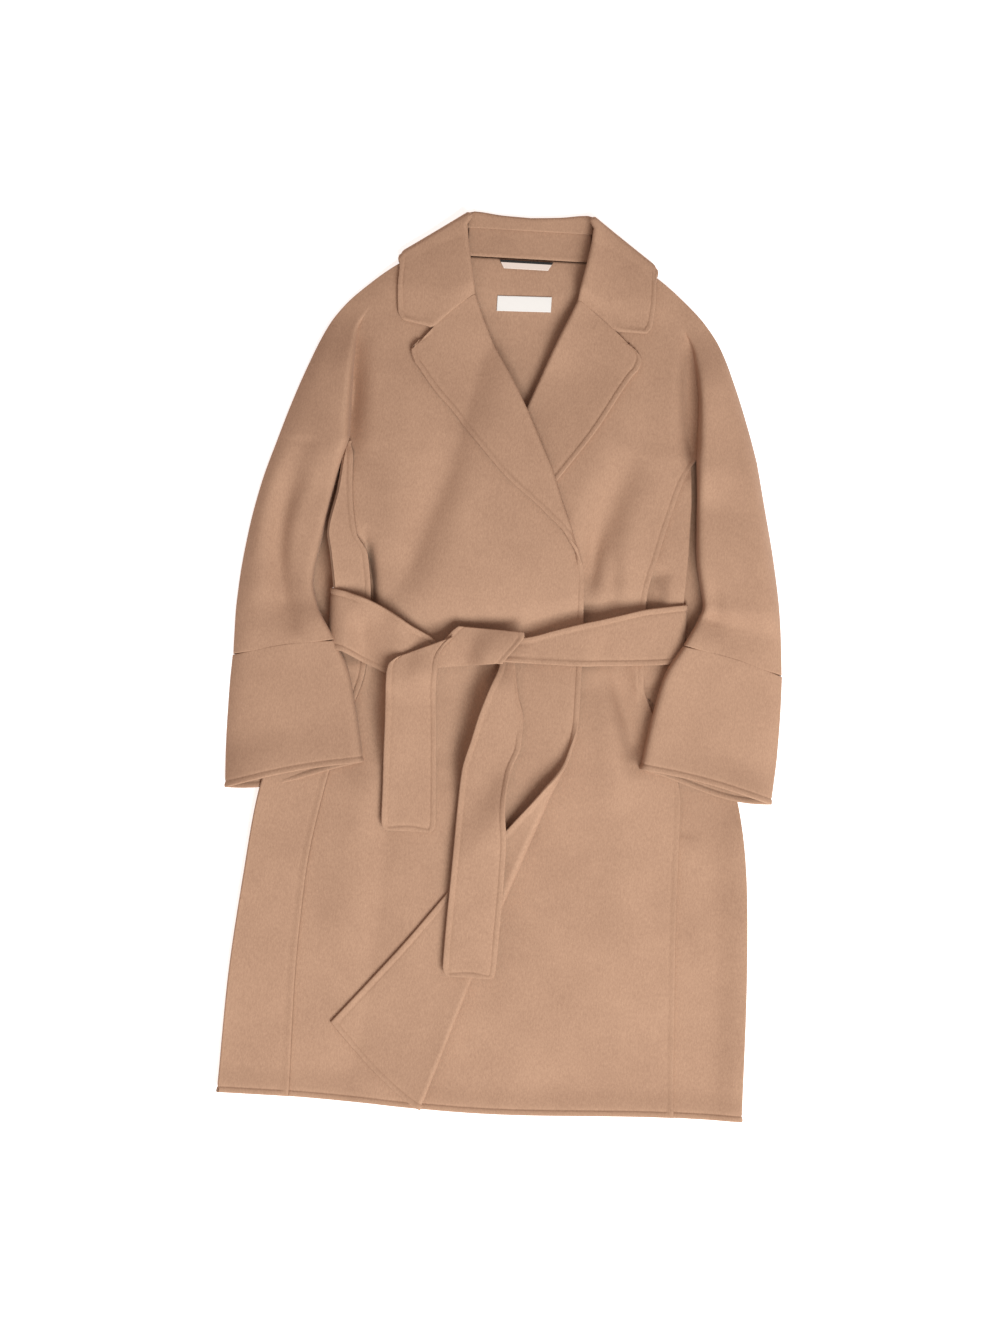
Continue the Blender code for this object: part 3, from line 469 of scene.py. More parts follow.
# Knot wrap and tails: left and right edges down their length.
Strip = namedtuple("Strip", "left left_up right right_up")
KNOT = (
    Strip(-0.0560, 0.5505, 0.0195, 0.5475),
    Strip(-0.0620, 0.5455, 0.0200, 0.5425),
    Strip(-0.0720, 0.5330, 0.0135, 0.5320),
    Strip(-0.0850, 0.5190, 0.0060, 0.5225),
    Strip(-0.0900, 0.5070, 0.0000, 0.5150),
    Strip(-0.0910, 0.5000, -0.0030, 0.5110),
)
KNOT_PUFF = 0.0008
KNOT_TILT = 0.0028
KNOT_ROUND = 0.6
TAIL_SHORT = (
    Strip(-0.1240, 0.5115, -0.0605, 0.5385),
    Strip(-0.1340, 0.5010, -0.0690, 0.5290),
    Strip(-0.1355, 0.4880, -0.0765, 0.5110),
    Strip(-0.1350, 0.4680, -0.0775, 0.4780),
    Strip(-0.1340, 0.4350, -0.0745, 0.4350),
    Strip(-0.1335, 0.3980, -0.0725, 0.3980),
    Strip(-0.1325, 0.3600, -0.0705, 0.3600),
    Strip(-0.1320, 0.3260, -0.0690, 0.3260),
    Strip(-0.1312, 0.3185, -0.0698, 0.3185),
    Strip(-0.1285, 0.3140, -0.0725, 0.3140),
    Strip(-0.1235, 0.3122, -0.0775, 0.3122),
)
TAIL_LONG = (
    Strip(-0.0050, 0.5210, 0.0100, 0.5210),
    Strip(-0.0075, 0.5050, 0.0115, 0.5030),
    Strip(-0.0170, 0.4800, 0.0160, 0.4760),
    Strip(-0.0270, 0.4500, 0.0240, 0.4450),
    Strip(-0.0340, 0.4220, 0.0235, 0.4180),
    Strip(-0.0430, 0.3850, 0.0130, 0.3850),
    Strip(-0.0455, 0.3450, 0.0095, 0.3450),
    Strip(-0.0470, 0.3000, 0.0130, 0.3000),
    Strip(-0.0490, 0.2500, 0.0125, 0.2500),
    Strip(-0.0510, 0.2050, 0.0110, 0.2050),
    Strip(-0.0520, 0.1620, 0.0095, 0.1620),
    Strip(-0.0512, 0.1550, 0.0087, 0.1545),
    Strip(-0.0485, 0.1505, 0.0058, 0.1500),
    Strip(-0.0435, 0.1488, 0.0010, 0.1483),
)

# Ribbon loop and label inside the back neck.
LOOP_LEFT = -0.0335
LOOP_RIGHT = 0.0285
LOOP_HIGH = 0.9742
# Painted shadow: above this height the loop's tape is painted near-black, for the shade between the loop
# and the neck seam.
LOOP_SHADOW_UP = 0.9712
LOOP_LOW = 0.9642
LOOP_SLANT = 0.0055
LOOP_LIFT = 0.0022
LABEL_LEFT = -0.0335
LABEL_RIGHT = 0.0290
LABEL_LOW = 0.9162
LABEL_HIGH = 0.9337
LABEL_TILT = 0.028

# Shades between the threads of the two tapes, and the near-black shadow painted along the top of the
# hanger loop.
TAPE_SHADE = (0.62, 0.48, 0.40, 1.0)
LOOP_SHADOW_PAINT = (0.012, 0.010, 0.009, 1.0)
LABEL_SHADE = (0.80, 0.75, 0.70, 1.0)

# How far the belt and its tails stand off what they lie on, near the knot and further along.
BELT_LIFT = 0.0008
BELT_TILT = 0.0042
BELT_SIDE_TILTS = {-1.0: 0.0100, 1.0: 0.0050}
BELT_SIDE_FROM = 0.092
BELT_SIDE_TO = 0.196
BELT_SIDE_OVER = 0.035
BELT_LIFT_FROM = 0.170
BELT_LIFT_OVER = 0.100
TAIL_LIFT = 0.0080
TAIL_LIFT_SHARE = 0.6
TAIL_OUT = 0.522
TAIL_OUT_OVER = 0.045
TAIL_LOOSE = 0.0008
TAIL_TILT = 0.0080
TAIL_TILT_FADE = 0.8
TAIL_LOOSE_LONG = 1.0
TAIL_LOOSE_SHORT = 0.5
TAIL_FOLD_UP = 0.430
TAIL_FOLD_OVER = 0.03
TAIL_FOLD_DROP = 0.0060
TAIL_FOLD_CURVE = 3

# How far round a point a draped sheet feels what lies below it.
CLOSE = 0.004
NEAR = 0.014
WIDE = 0.064
FAR = 0.030

# Noise in the cloth: features in a metre, octaves and stretch. Tones are its shares in the colour.
Noise = namedtuple("Noise", "scale detail stretch")
FIBRE = Noise(620.0, 3.0, (1.0, 0.45, 1.0))
GRAIN = Noise(1500.0, 2.0, (1.0, 1.0, 1.0))
CLOUD = Noise(16.0, 3.0, (1.0, 1.0, 1.0))
THREAD = Noise(900.0, 2.0, (1.0, 1.0, 1.0))
NOISE_ROUGH = 0.6
NOISE_MIDDLE = 0.5
FIBRE_TONE = 1.6
GRAIN_TONE = 1.0
CLOUD_TONE = 0.9
FIBRE_NAP = 0.6
GRAIN_NAP = 0.4
NAP_STRENGTH = 0.5
NAP_DEPTH = 0.0006
WOOL_ROUGH = 0.86
WOOL_ROUGH_VARIES = 0.16
WOOL_FINISH = {
    "Sheen Weight": 0.08,
    "Sheen Roughness": 0.45,
    "Sheen Tint": (1.0, 0.86, 0.74, 1.0),
    "Specular IOR Level": 0.15,
}
RIB_SCALE = 320.0
RIB_TONE = 0.35
THREAD_TONE = 0.3
TAPE_TONE = 0.55
RIB_HEIGHT = 0.7
THREAD_HEIGHT = 0.3
RIB_STRENGTH = 0.3
RIB_DEPTH = 0.0002
TAPE_ROUGH = 0.5
TAPE_ROUGH_VARIES = 0.2
TAPE_FINISH = {"Sheen Weight": 0.1, "Specular IOR Level": 0.4}

# Cut of each sheet: width and length of the flat piece's box, and its own area.
Cut = namedtuple("Cut", "width length area")

# Camera, light and floor, in the photograph's own framing.
IMAGE_HEIGHT = 1.536
IMAGE_TILT = math.radians(3.3)
IMAGE_CENTRE = (-0.0060, 0.5068)
CAMERA_UP = 4.5
CAMERA_FAR = 100.0
SENSOR = 36.0
KEY_PLACE = (1.60, -2.70, 3.50)
KEY_SIZE = 2.4
FLOOR_HALF = 6.0
FLOOR_ROUGH = 0.9
FLOOR_GLOW = 0.70
KEY_TINT = (0.92, 1.0, 1.03)
ROOM_TINT = (1.12, 0.94, 0.88, 1.0)


def step(share):
    """Rises smoothly from 0 to 1."""
    share = np.clip(share, 0.0, 1.0)
    return share * share * (3.0 - 2.0 * share)


def window(value, low, high, over):
    """Rises to 1 past a low place, and falls to 0 again before a high one."""
    return step((value - low) / over) * step((high - value) / over)


def mix(first, second, share):
    """A value between two others."""
    return first + (second - first) * share


def cubic(share, start, end, leave, arrive):
    """A smooth line from start to end, with its slopes at both."""
    rest = 1.0 - share
    first = start * (1.0 + 2.0 * share) * rest * rest + leave * share * rest * rest
    last = end * (3.0 - 2.0 * share) * share * share - arrive * share * share * rest
    return first + last


def smooth(places, values, at):
    """Smooth values between given ones, with no overshoot."""
    places = np.asarray(places, float)
    values = np.asarray(values, float)
    at = np.clip(at, places[0], places[-1])
    spans = np.diff(places)
    rates = np.diff(values) / spans
    slopes = np.concatenate([rates[:1], np.zeros(len(rates) - 1), rates[-1:]])
    for k in range(1, len(rates)):
        if rates[k - 1] * rates[k] > 0.0:
            slopes[k] = 2.0 * rates[k - 1] * rates[k] / (rates[k - 1] + rates[k])
    i = np.clip(np.searchsorted(places, at, side="right") - 1, 0, len(spans) - 1)
    share = (at - places[i]) / spans[i]
    return cubic(share, values[i], values[i + 1], slopes[i] * spans[i], slopes[i + 1] * spans[i])


def read(table, column, up):
    """A table's column at some heights, by its first column."""
    return smooth([row[0] for row in table], [getattr(row, column) for row in table], up)


def between(rows, steps):
    """A table's columns, with smooth rows set in between."""
    at = np.linspace(0.0, len(rows) - 1.0, (len(rows) - 1) * steps + 1)
    return [column[:, 0] for column in along_table(rows, at)]


def along_table(rows, at):
    """A table's columns at places counted in rows, each as a column of a grid."""
    places = np.arange(len(rows))
    return [smooth(places, column, at)[:, None] for column in np.array(rows, float).T]


def marks(length, spacing, near=(0.0,), far=(0.0,)):
    """Shares of a length: close together at its ends, as given, and even between them."""
    start = near[-1]
    stop = length - far[-1]
    count = max(2, math.ceil((stop - start) / spacing))
    middle = np.linspace(start, stop, count + 1)
    end = length - np.array(far[:-1])[::-1]
    return np.concatenate([np.array(near[:-1]), middle, end]) / length


def sided(column, x, up):
    """A size of the body, taken from the side on which each place lies."""
    left = step((x + 0.5 * SIDE_BLEND) / SIDE_BLEND)
    return read(BODY_RIGHT, column, up) * (1.0 - left) + read(BODY_LEFT, column, up) * left


def relief(creases, x, up):
    """Height of soft ridges and troughs at some places."""
    height = np.zeros(np.broadcast(x, up).shape)
    for crease in creases:
        run_x = crease.to_x - crease.x
        run_up = crease.to_up - crease.up
        length = math.hypot(run_x, run_up)
        share = np.clip(((x - crease.x) * run_x + (up - crease.up) * run_up) / length ** 2, 0.0, 1.0)
        bend = 4.0 * crease.bow * share * (1.0 - share) / length
        away_x = x - crease.x - run_x * share + run_up * bend
        away_up = up - crease.up - run_up * share - run_x * bend
        taper = np.sin(np.pi * (RIDGE_END + (1.0 - 2.0 * RIDGE_END) * share))
        height = height + crease.rise * taper * np.exp(-(away_x ** 2 + away_up ** 2) / crease.width ** 2)
    return height


def back_height(x, up):
    """Height of the back panel's middle, lifted by the belt's back run and the collar's fall."""
    below = step((up - BELT_LOW + BELT_SLOPE) / BELT_SLOPE)
    above = step((BELT_HIGH + BELT_SLOPE - up) / BELT_SLOPE)
    out = step((FALL_WIDTH + FALL_SLOPE - np.abs(x)) / FALL_SLOPE)
    top = step((up - FALL_UP + FALL_SLOPE) / FALL_SLOPE)
    return HALF + LAYER * below * above + FALL_RISE * out * top


def arch(across, centre, side, rim):
    """A smooth line from the centre over the side of the chest to the rim."""
    first = (side - centre) / CHEST_SHARE
    second = (rim - side) / (1.0 - CHEST_SHARE)
    both = first + second
    same_way = first * second > 0.0
    crest = np.where(same_way, 2.0 * first * second / np.where(same_way, both, 1.0), 0.0)
    inner = across < CHEST_SHARE
    span = np.where(inner, CHEST_SHARE, 1.0 - CHEST_SHARE)
    share = np.where(inner, across / CHEST_SHARE, (across - CHEST_SHARE) / (1.0 - CHEST_SHARE))
    start = np.where(inner, centre, side)
    end = np.where(inner, side, rim)
    leave = np.where(inner, first, crest) * span
    arrive = np.where(inner, crest, second) * span
    return cubic(share, start, end, leave, arrive)


def front_height(x, up, creased=1.0):
    """Height of a front panel's middle where it lies on the back with only its own room."""
    across = np.minimum(np.abs(x) / sided("seam", x, up), 1.0)
    room = arch(across, sided("centre", x, up), sided("side", x, up), sided("rim", x, up))
    room = mix(room, shoulder_room(x, up), over_shoulder(up))
    soft = relief(RIDGES, x, up) * (1.0 - across ** RIDGE_FADE) + creased * relief(BODY_CREASES, x, up)
    soft = soft + HEM_RISE * step(1.0 - up / HEM_RISE_OVER)
    return back_height(x, up) + LAYER + np.maximum(room + soft, 0.0)


def over_height(x, up):
    """Height of the middle of the front that laps over the other, with its own creases."""
    smoothed = np.maximum(front_height(x, up, 0.0), LAID["smoothed"](x, up))
    lowest = np.maximum(back_height(x, up) + LAYER, LAID["close"](x, up))
    return np.maximum(smoothed + relief(BODY_CREASES, x, up), lowest)


def arm_height(side, x, up):
    """Height of the middle of a sleeve's lower layer, at distances from the centre."""
    over = step((read(BODIES[side], "edge", up) + ARM_REACH - x) / ARM_SLOPE)
    down = step((ARM_RISE_FROM - up) / ARM_RISE_OVER)
    return HALF + ARM_RISE * over * down


def bridged(side, x, up):
    """Height under a sleeve's upper layer, straight across from its inner to its outer edge."""
    low = arm_height(side, x[:, :1], up[:, :1])
    high = arm_height(side, x[:, -1:], up[:, -1:])
    share = (x - x[:, :1]) / (x[:, -1:] - x[:, :1])
    return mix(low, high, share)


def dome(share, outside=PUFF_OUTER):
    """Cross-section of a puffed layer: flat in the middle, steep inside and round outside."""
    away = np.abs(2.0 * np.clip(share, 0.0, 1.0) - 1.0)
    return 1.0 - np.where(share < 0.5, away ** PUFF_INNER, away ** outside)


def over_shoulder(up):
    """How far a height lies above the armpit, where chest and sleeve are one smooth form."""
    return step((up - SMOOTH_FROM) / SMOOTH_OVER)


def shoulder_room(x, up):
    """Room between front and back from the neck to the shoulder's edge."""
    share = np.clip(np.abs(x) / read(SHOULDER, "outer", up), 0.0, 1.0)
    return read(SHOULDER, "room", up) * (1.0 - share ** SHOULDER_ROUND)


def dropped(x, up):
    """Places on a panel, moved down with the hem's dip."""
    dip = -HEM_DIP * (1.0 - step(np.abs(x) / HEM_DIP_HALF))
    return up + dip * step((HEM_DIP_UP - up) / HEM_DIP_UP)


class Ground:
    """The highest surface laid so far, on a square grid seen from above."""

    CELL = 0.002
    LEFT = -0.36
    LOW = -0.04
    WIDE_CELLS = 360
    LONG_CELLS = 560
    LAST = 1.001
    BLURS = 2

    def __init__(self, *others):
        self.top = np.zeros((self.LONG_CELLS, self.WIDE_CELLS))
        for other in others:
            self.top = np.maximum(self.top, other.top)

    def lay(self, points, reach=1.0):
        """Adds the points of a sheet, out to a reach from the centre."""
        points = points.reshape(-1, 3)
        points = points[np.abs(points[:, 0]) <= reach]
        row = np.rint((points[:, 1] - self.LOW) / self.CELL).astype(int)
        column = np.rint((points[:, 0] - self.LEFT) / self.CELL).astype(int)
        np.maximum.at(self.top, (row, column), points[:, 2] + HALF)
        return self

    def draped(self, reach):
        """A function for the height of the middle of a sheet draped over what is laid."""
        cells = max(2, round(reach / self.CELL))
        grown = self.top
        for k in range(cells):
            grown = self.spread(grown, k % 2 == 0)
        for _ in range(self.BLURS):
            grown = self.blurred(grown, cells // 2)
        return lambda x, up: self.sample(grown, x, up) + GAP + HALF

    @staticmethod
    def spread(heights, corners):
        """Each cell raised to its highest neighbour."""
        padded = np.pad(heights, 1, mode="edge")
        rows, columns = heights.shape
        grown = heights
        for i in range(3):
            for k in range(3):
                if corners or i == 1 or k == 1:
                    grown = np.maximum(grown, padded[i : i + rows, k : k + columns])
        return grown

    @staticmethod
    def blurred(heights, cells):
        """A running mean along both ways of the grid."""
        for axis in (0, 1):
            padding = [(0, 0), (0, 0)]
            padding[axis] = (cells + 1, cells)
            sums = np.cumsum(np.pad(heights, padding, mode="edge"), axis=axis)
            count = heights.shape[axis]
            width = 2 * cells + 1
            upper = np.take(sums, range(width, width + count), axis=axis)
            heights = (upper - np.take(sums, range(count), axis=axis)) / width
        return heights

    def sample(self, heights, x, up):
        """Heights between the grid's cells."""
        row = np.clip((up - self.LOW) / self.CELL, 0.0, self.LONG_CELLS - self.LAST)
        column = np.clip((x - self.LEFT) / self.CELL, 0.0, self.WIDE_CELLS - self.LAST)
        i = row.astype(int)
        k = column.astype(int)
        down = row - i
        along = column - k
        near = heights[i, k] * (1.0 - along) + heights[i, k + 1] * along
        far = heights[i + 1, k] * (1.0 - along) + heights[i + 1, k + 1] * along
        return near * (1.0 - down) + far * down


# What the next piece is laid on, filled in as the operators run.
LAID = {}


def stacked(x, up, z):
    """A grid of points from its three coordinates."""
    return np.stack(np.broadcast_arrays(x, up, z), axis=-1).astype(float)


def measured(points, axis):
    """Distances along a grid's rows or columns from their start."""
    steps = np.linalg.norm(np.diff(points, axis=axis), axis=-1)
    start = np.zeros_like(np.take(steps, [0], axis=axis))
    return np.concatenate([start, np.cumsum(steps, axis=axis)], axis=axis)


def from_side(points, side):
    """Distance of each point of a grid from its first or last row or column."""
    axis = 0 if side in ("first", "last") else 1
    run = measured(points, axis)
    if side in ("last", "right"):
        run = np.take(run, [-1], axis=axis) - run
    return run


def wall(points, sewn=(), felled=(), half=HALF, where=None):
    """Half thickness of the cloth: rounded at sewn sides, and banded along felled ones."""
    where = where or {}
    far = np.full(points.shape[:2], 1.0)
    fell = far.copy()
    for side in tuple(sewn) + tuple(felled):
        run = np.where(where.get(side, True), from_side(points, side), 1.0)
        far = np.minimum(far, run)
        if side in felled:
            fell = np.minimum(fell, run)
    rounded = np.sqrt(1.0 - (1.0 - np.clip(far / half, 0.0, 1.0)) ** 2)
    band = FELL_PLUMP * step((FELL_WIDTH - fell) / FELL_LINE + 0.5)
    groove = FELL_GROOVE * np.exp(-(((fell - FELL_WIDTH) / FELL_LINE) ** 2))
    return rounded * (half + band) - groove


def quads_of(rows, columns, start, ring):
    """Corner numbers of a grid's faces."""
    numbers = start + np.arange(rows * columns).reshape(rows, columns)
    if ring:
        numbers = np.concatenate([numbers, numbers[:, :1]], axis=1)
    corners = (numbers[:-1, :-1], numbers[1:, :-1], numbers[1:, 1:], numbers[:-1, 1:])
    return np.stack([corner.reshape(-1) for corner in corners], axis=-1)


def normals_of(points, quads):
    """Normals at the points of a mesh of four-sided faces."""
    across = points[quads[:, 2]] - points[quads[:, 0]]
    along = points[quads[:, 3]] - points[quads[:, 1]]
    faces = np.cross(across, along)
    normals = np.zeros_like(points)
    for k in range(4):
        np.add.at(normals, quads[:, k], faces)
    return normals / np.maximum(np.linalg.norm(normals, axis=1, keepdims=True), TINY)


def shell(name, patches, material, ring=False):
    """A closed shell round grids of points, each with its half thickness, welded where they meet."""
    points = np.concatenate([grid.reshape(-1, 3) for grid, _ in patches])
    half = np.concatenate([wall_half.reshape(-1) for _, wall_half in patches])
    quads = []
    start = 0
    for grid, _ in patches:
        rows, columns = grid.shape[:2]
        made = quads_of(rows, columns, start, ring)
        across = points[made[:, 2]] - points[made[:, 0]]
        along = points[made[:, 3]] - points[made[:, 1]]
        upward = np.cross(across, along)[:, 2].sum() >= 0.0
        quads.append(made if upward else made[:, ::-1])
        start += rows * columns
    keys = np.rint(points / WELD).astype(np.int64)
    _, first, inverse = np.unique(keys, axis=0, return_index=True, return_inverse=True)
    inverse = inverse.reshape(-1)
    points = points[first]
    half = half[first]
    quads = inverse[np.concatenate(quads)]
    sound = np.array([len(set(quad)) == 4 for quad in quads.tolist()])
    quads = quads[sound]
    normals = normals_of(points, quads)
    ends = np.sort(np.concatenate([quads[:, [k, (k + 1) % 4]] for k in range(4)]), axis=1)
    edges, uses = np.unique(ends, axis=0, return_counts=True)
    rim = np.zeros(len(points), bool)
    rim[edges[uses == 1].reshape(-1)] = True
    half = np.where(rim, 0.0, half)[:, None]
    inner = np.flatnonzero(~rim)
    under = np.arange(len(points))
    under[inner] = len(points) + np.arange(len(inner))
    shown = np.concatenate([points + normals * half, (points - normals * half)[inner]])
    shown[:, 1] -= MIDDLE_UP
    faces = np.concatenate([quads, under[quads[:, ::-1]]])
    mesh = bpy.data.meshes.new(name)
    mesh.from_pydata(shown.tolist(), [], faces.tolist())
    mesh.polygons.foreach_set("use_smooth", np.ones(len(mesh.polygons), bool))
    mesh.materials.append(material)
    piece = bpy.data.objects.new(name, mesh)
    bpy.context.scene.collection.objects.link(piece)
    return piece


def dress(piece, node):
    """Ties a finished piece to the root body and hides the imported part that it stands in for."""
    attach(piece, "root")
    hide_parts(node)


class Socket:
    """A shader socket that takes part in Python arithmetic. Each operation adds one Math node."""

    def __init__(self, web, output):
        self.web = web
        self.output = output

    def math(self, operation, first, second):
        """One operation on two numbers or sockets."""
        return self.web.add("ShaderNodeMath", {"operation": operation}, {0: first, 1: second})["Value"]

    def __add__(self, other):
        return self.math("ADD", self, other)

    def __radd__(self, other):
        return self.math("ADD", other, self)

    def __sub__(self, other):
        return self.math("SUBTRACT", self, other)

    def __rsub__(self, other):
        return self.math("SUBTRACT", other, self)

    def __mul__(self, other):
        return self.math("MULTIPLY", self, other)

    def __rmul__(self, other):
        return self.math("MULTIPLY", other, self)


class Web:
    """The node tree of one material."""

    def __init__(self, name):
        self.material = bpy.data.materials.new(name)
        self.material.use_nodes = True
        self.tree = self.material.node_tree
        self.shader = self.tree.nodes["Principled BSDF"]

    def put(self, socket, value):
        """Links a socket, or sets its value."""
        if isinstance(value, Socket):
            self.tree.links.new(value.output, socket)
        else:
            socket.default_value = value

    def add(self, kind, settings, values):
        """Adds a node, with its settings first, then its inputs. Returns its outputs by name."""
        node = self.tree.nodes.new(kind)
        for key, setting in settings.items():
            setattr(node, key, setting)
        for key, value in values.items():
            self.put(node.inputs[key], value)
        return {output.name: Socket(self, output) for output in node.outputs if output.enabled}

    def blend(self, first, second, factor):
        """A colour between two others."""
        made = self.add("ShaderNodeMix", {"data_type": "RGBA"}, {0: factor, 6: first, 7: second})
        return made["Result"]

    def stretched(self, scale):
        """Object coordinates, scaled along each axis."""
        where = self.add("ShaderNodeTexCoord", {}, {})["Object"]
        return self.add("ShaderNodeVectorMath", {"operation": "MULTIPLY"}, {0: where, 1: scale})["Vector"]

    def noise(self, kind):
        """Cloudy noise from 0 to 1."""
        settings = {"noise_dimensions": "3D"}
        values = {"Scale": kind.scale, "Detail": kind.detail, "Roughness": NOISE_ROUGH}
        values["Vector"] = self.stretched(kind.stretch)
        return self.add("ShaderNodeTexNoise", settings, values)["Fac"]

    def bump(self, height, strength, depth):
        """A normal from a height that varies over the cloth."""
        values = {"Height": height, "Strength": strength, "Distance": depth}
        return self.add("ShaderNodeBump", {}, values)["Normal"]

    def finish(self, constants, **varying):
        """Sets the shader's constant sockets and links its varying ones."""
        for name, value in constants.items():
            self.put(self.shader.inputs[name], value)
        for name, value in varying.items():
            self.put(self.shader.inputs[name.replace("_", " ")], value)
        return self.material


def wool(colours, nap_depth):
    """Napped wool cloth: fine fibres, faint clouds of tone and a soft bloom at the edges."""
    web = Web("camel_wool")
    fibre = web.noise(FIBRE)
    grain = web.noise(GRAIN)
    cloud = web.noise(CLOUD)
    tone = NOISE_MIDDLE + FIBRE_TONE * (fibre - NOISE_MIDDLE) + GRAIN_TONE * (grain - NOISE_MIDDLE)
    tone = tone + CLOUD_TONE * (cloud - NOISE_MIDDLE)
    bump = web.bump(FIBRE_NAP * fibre + GRAIN_NAP * grain, NAP_STRENGTH, nap_depth)
    rough = WOOL_ROUGH + WOOL_ROUGH_VARIES * (grain - NOISE_MIDDLE)
    colour = web.blend(tuple(colours.wool_dark), tuple(colours.wool_light), tone)
    return web.finish(WOOL_FINISH, Base_Color=colour, Roughness=rough, Normal=bump)


def ribbon(name, colour, shade, shadow_from=None):
    """Smooth woven tape with a fine rib across it, and a near-black painted shadow above a height if one
    is given.
    """
    web = Web(name)
    waves = {"wave_type": "BANDS", "bands_direction": "X"}
    values = {"Vector": web.stretched(THREAD.stretch), "Scale": RIB_SCALE}
    rib = web.add("ShaderNodeTexWave", waves, values)["Fac"]
    thread = web.noise(THREAD)
    bump = web.bump(RIB_HEIGHT * rib + THREAD_HEIGHT * thread, RIB_STRENGTH, RIB_DEPTH)
    tone = TAPE_TONE + RIB_TONE * rib + THREAD_TONE * (thread - NOISE_MIDDLE)
    made = web.blend(shade, colour, tone)
    if shadow_from is not None:
        # Painted shadow: the tape turns near-black above the given height, for the shade under the neck
        # seam.
        place = web.add("ShaderNodeTexCoord", {}, {})["Object"]
        up = web.add("ShaderNodeSeparateXYZ", {}, {"Vector": place})["Y"]
        above = web.add("ShaderNodeMath", {"operation": "GREATER_THAN"}, {0: up, 1: shadow_from})["Value"]
        made = web.blend(made, LOOP_SHADOW_PAINT, above)
    rough = TAPE_ROUGH + TAPE_ROUGH_VARIES * thread
    return web.finish(TAPE_FINISH, Base_Color=made, Roughness=rough, Normal=bump)


def sleeve_grids(side, upper, ups, height):
    """The sleeve's head beside the yoke, and the sleeve from the notch to the cuff."""
    shares = marks(ARM_WIDTH, COLUMN_STEP if upper else BACK_STEP, SEAM_STEPS, SEAM_STEPS)
    valley = read(BODIES[side], "seam", ups)[:, None]
    outer = read(SHOULDER, "outer", ups)[:, None]
    rows = ups[:, None]
    x = mix(valley, outer, shares)
    z = back_height(x, rows)
    if upper:
        level = height(side * valley, rows) - back_height(valley, rows)
        calm = front_height(side * valley, rows, 0.0) - back_height(valley, rows)
        inside = mix(level, calm, step(VALLEY_EASE * shares))
        folds = relief(SLEEVE_CREASES, side * x, rows) * step(FOLD_EASE * shares)
        head_puff = HEAD_SHARES[side] * read(SHOULDER, "puff", ups)[:, None]
        puffed = mix(inside, LAYER, step(shares)) + head_puff * dome(shares, PUFF_ROUND[side])
        joined = inside + shoulder_room(x, rows) - shoulder_room(valley, rows)
        z = z + puffed + (joined - puffed) * over_shoulder(rows) + folds
    head = stacked(side * x, rows, z)
    table = SLEEVES[side]
    count = (len(table) - 1) * (ARM_ROWS if upper else BACK_ARM_ROWS)
    at = marks(ARM_LENGTH, ARM_LENGTH / count, far=SEAM_STEPS)[1:] * (len(table) - 1.0)
    inner, inner_up, outer, outer_up, puff = along_table(table, at)
    if not upper:
        beside = read(BODIES[side], "edge", inner_up) - UNDERARM_LAP
        belted = step((BESIDE_BELT_UPS[side] - inner_up) / BESIDE_BELT_OVER)
        beside = mix(beside, BESIDE_BELT, belted)
        inner = mix(inner, beside, step((inner_up - BESIDE_LOW) / BESIDE_OVER))
    x = mix(inner, outer, shares)
    up = mix(inner_up, outer_up, shares)
    if upper:
        folds = relief(SLEEVE_CREASES, side * x, up)
        folds = folds * step(FOLD_EASE * shares) * step(FOLD_EASE * (1.0 - shares))
        folds = folds * step((inner_up - inner_up[-1]) / FOLD_END)
        start = bridged(side, np.abs(head[-1:, :, 0]), head[-1:, :, 1])
        start = start + LAYER + table[0].puff * dome(shares, PUFF_ROUND[side])
        carried = (head[-1:, :, 2] - start) * step(1.0 - (NOTCH_UP - up) / CARRY_OVER)
        ending = step(1.0 - (inner_up - inner_up[-1]) / PUFF_ROUND_END)
        outside = mix(PUFF_ROUND[side], PUFF_OUTER, ending)
        z = bridged(side, x, up) + LAYER + puff * dome(shares, outside) + folds + carried
        stands = step((NOTCH_UP - inner_up) / EDGE_LIFT_OVER)
        stands = stands * step((inner_up - inner_up[-1]) / EDGE_LIFT_END)
        z = z + EDGE_LIFT * stands * (1.0 - dome(shares)) * (shares < 0.5)
    else:
        up = up - CUFF_REACH * step((at - at[-1] + 1.0)[:, None])
        z = arm_height(side, x, up)
        z = mix(z, HALF, step((up - UNDERARM_LOW) / UNDERARM_OVER))
    arm = np.concatenate([head[-1:], stacked(side * x, up, z)])
    return head, arm


def body_rows(spacing, hem_steps, gorge_steps):
    """Heights of the rows of a panel: down from the gorge to the notch, and from there to the hem."""
    upper = GORGE_UP - marks(GORGE_UP - NOTCH_UP, spacing, near=gorge_steps) * (GORGE_UP - NOTCH_UP)
    lower = NOTCH_UP - marks(NOTCH_UP, spacing, far=hem_steps) * NOTCH_UP
    return upper, lower


def yoke_rows(spacing):
    """Heights of the rows from the shoulder down to the gorge."""
    return np.linspace(SHOULDER_UP, GORGE_UP, math.ceil((SHOULDER_UP - GORGE_UP) / spacing) + 1)


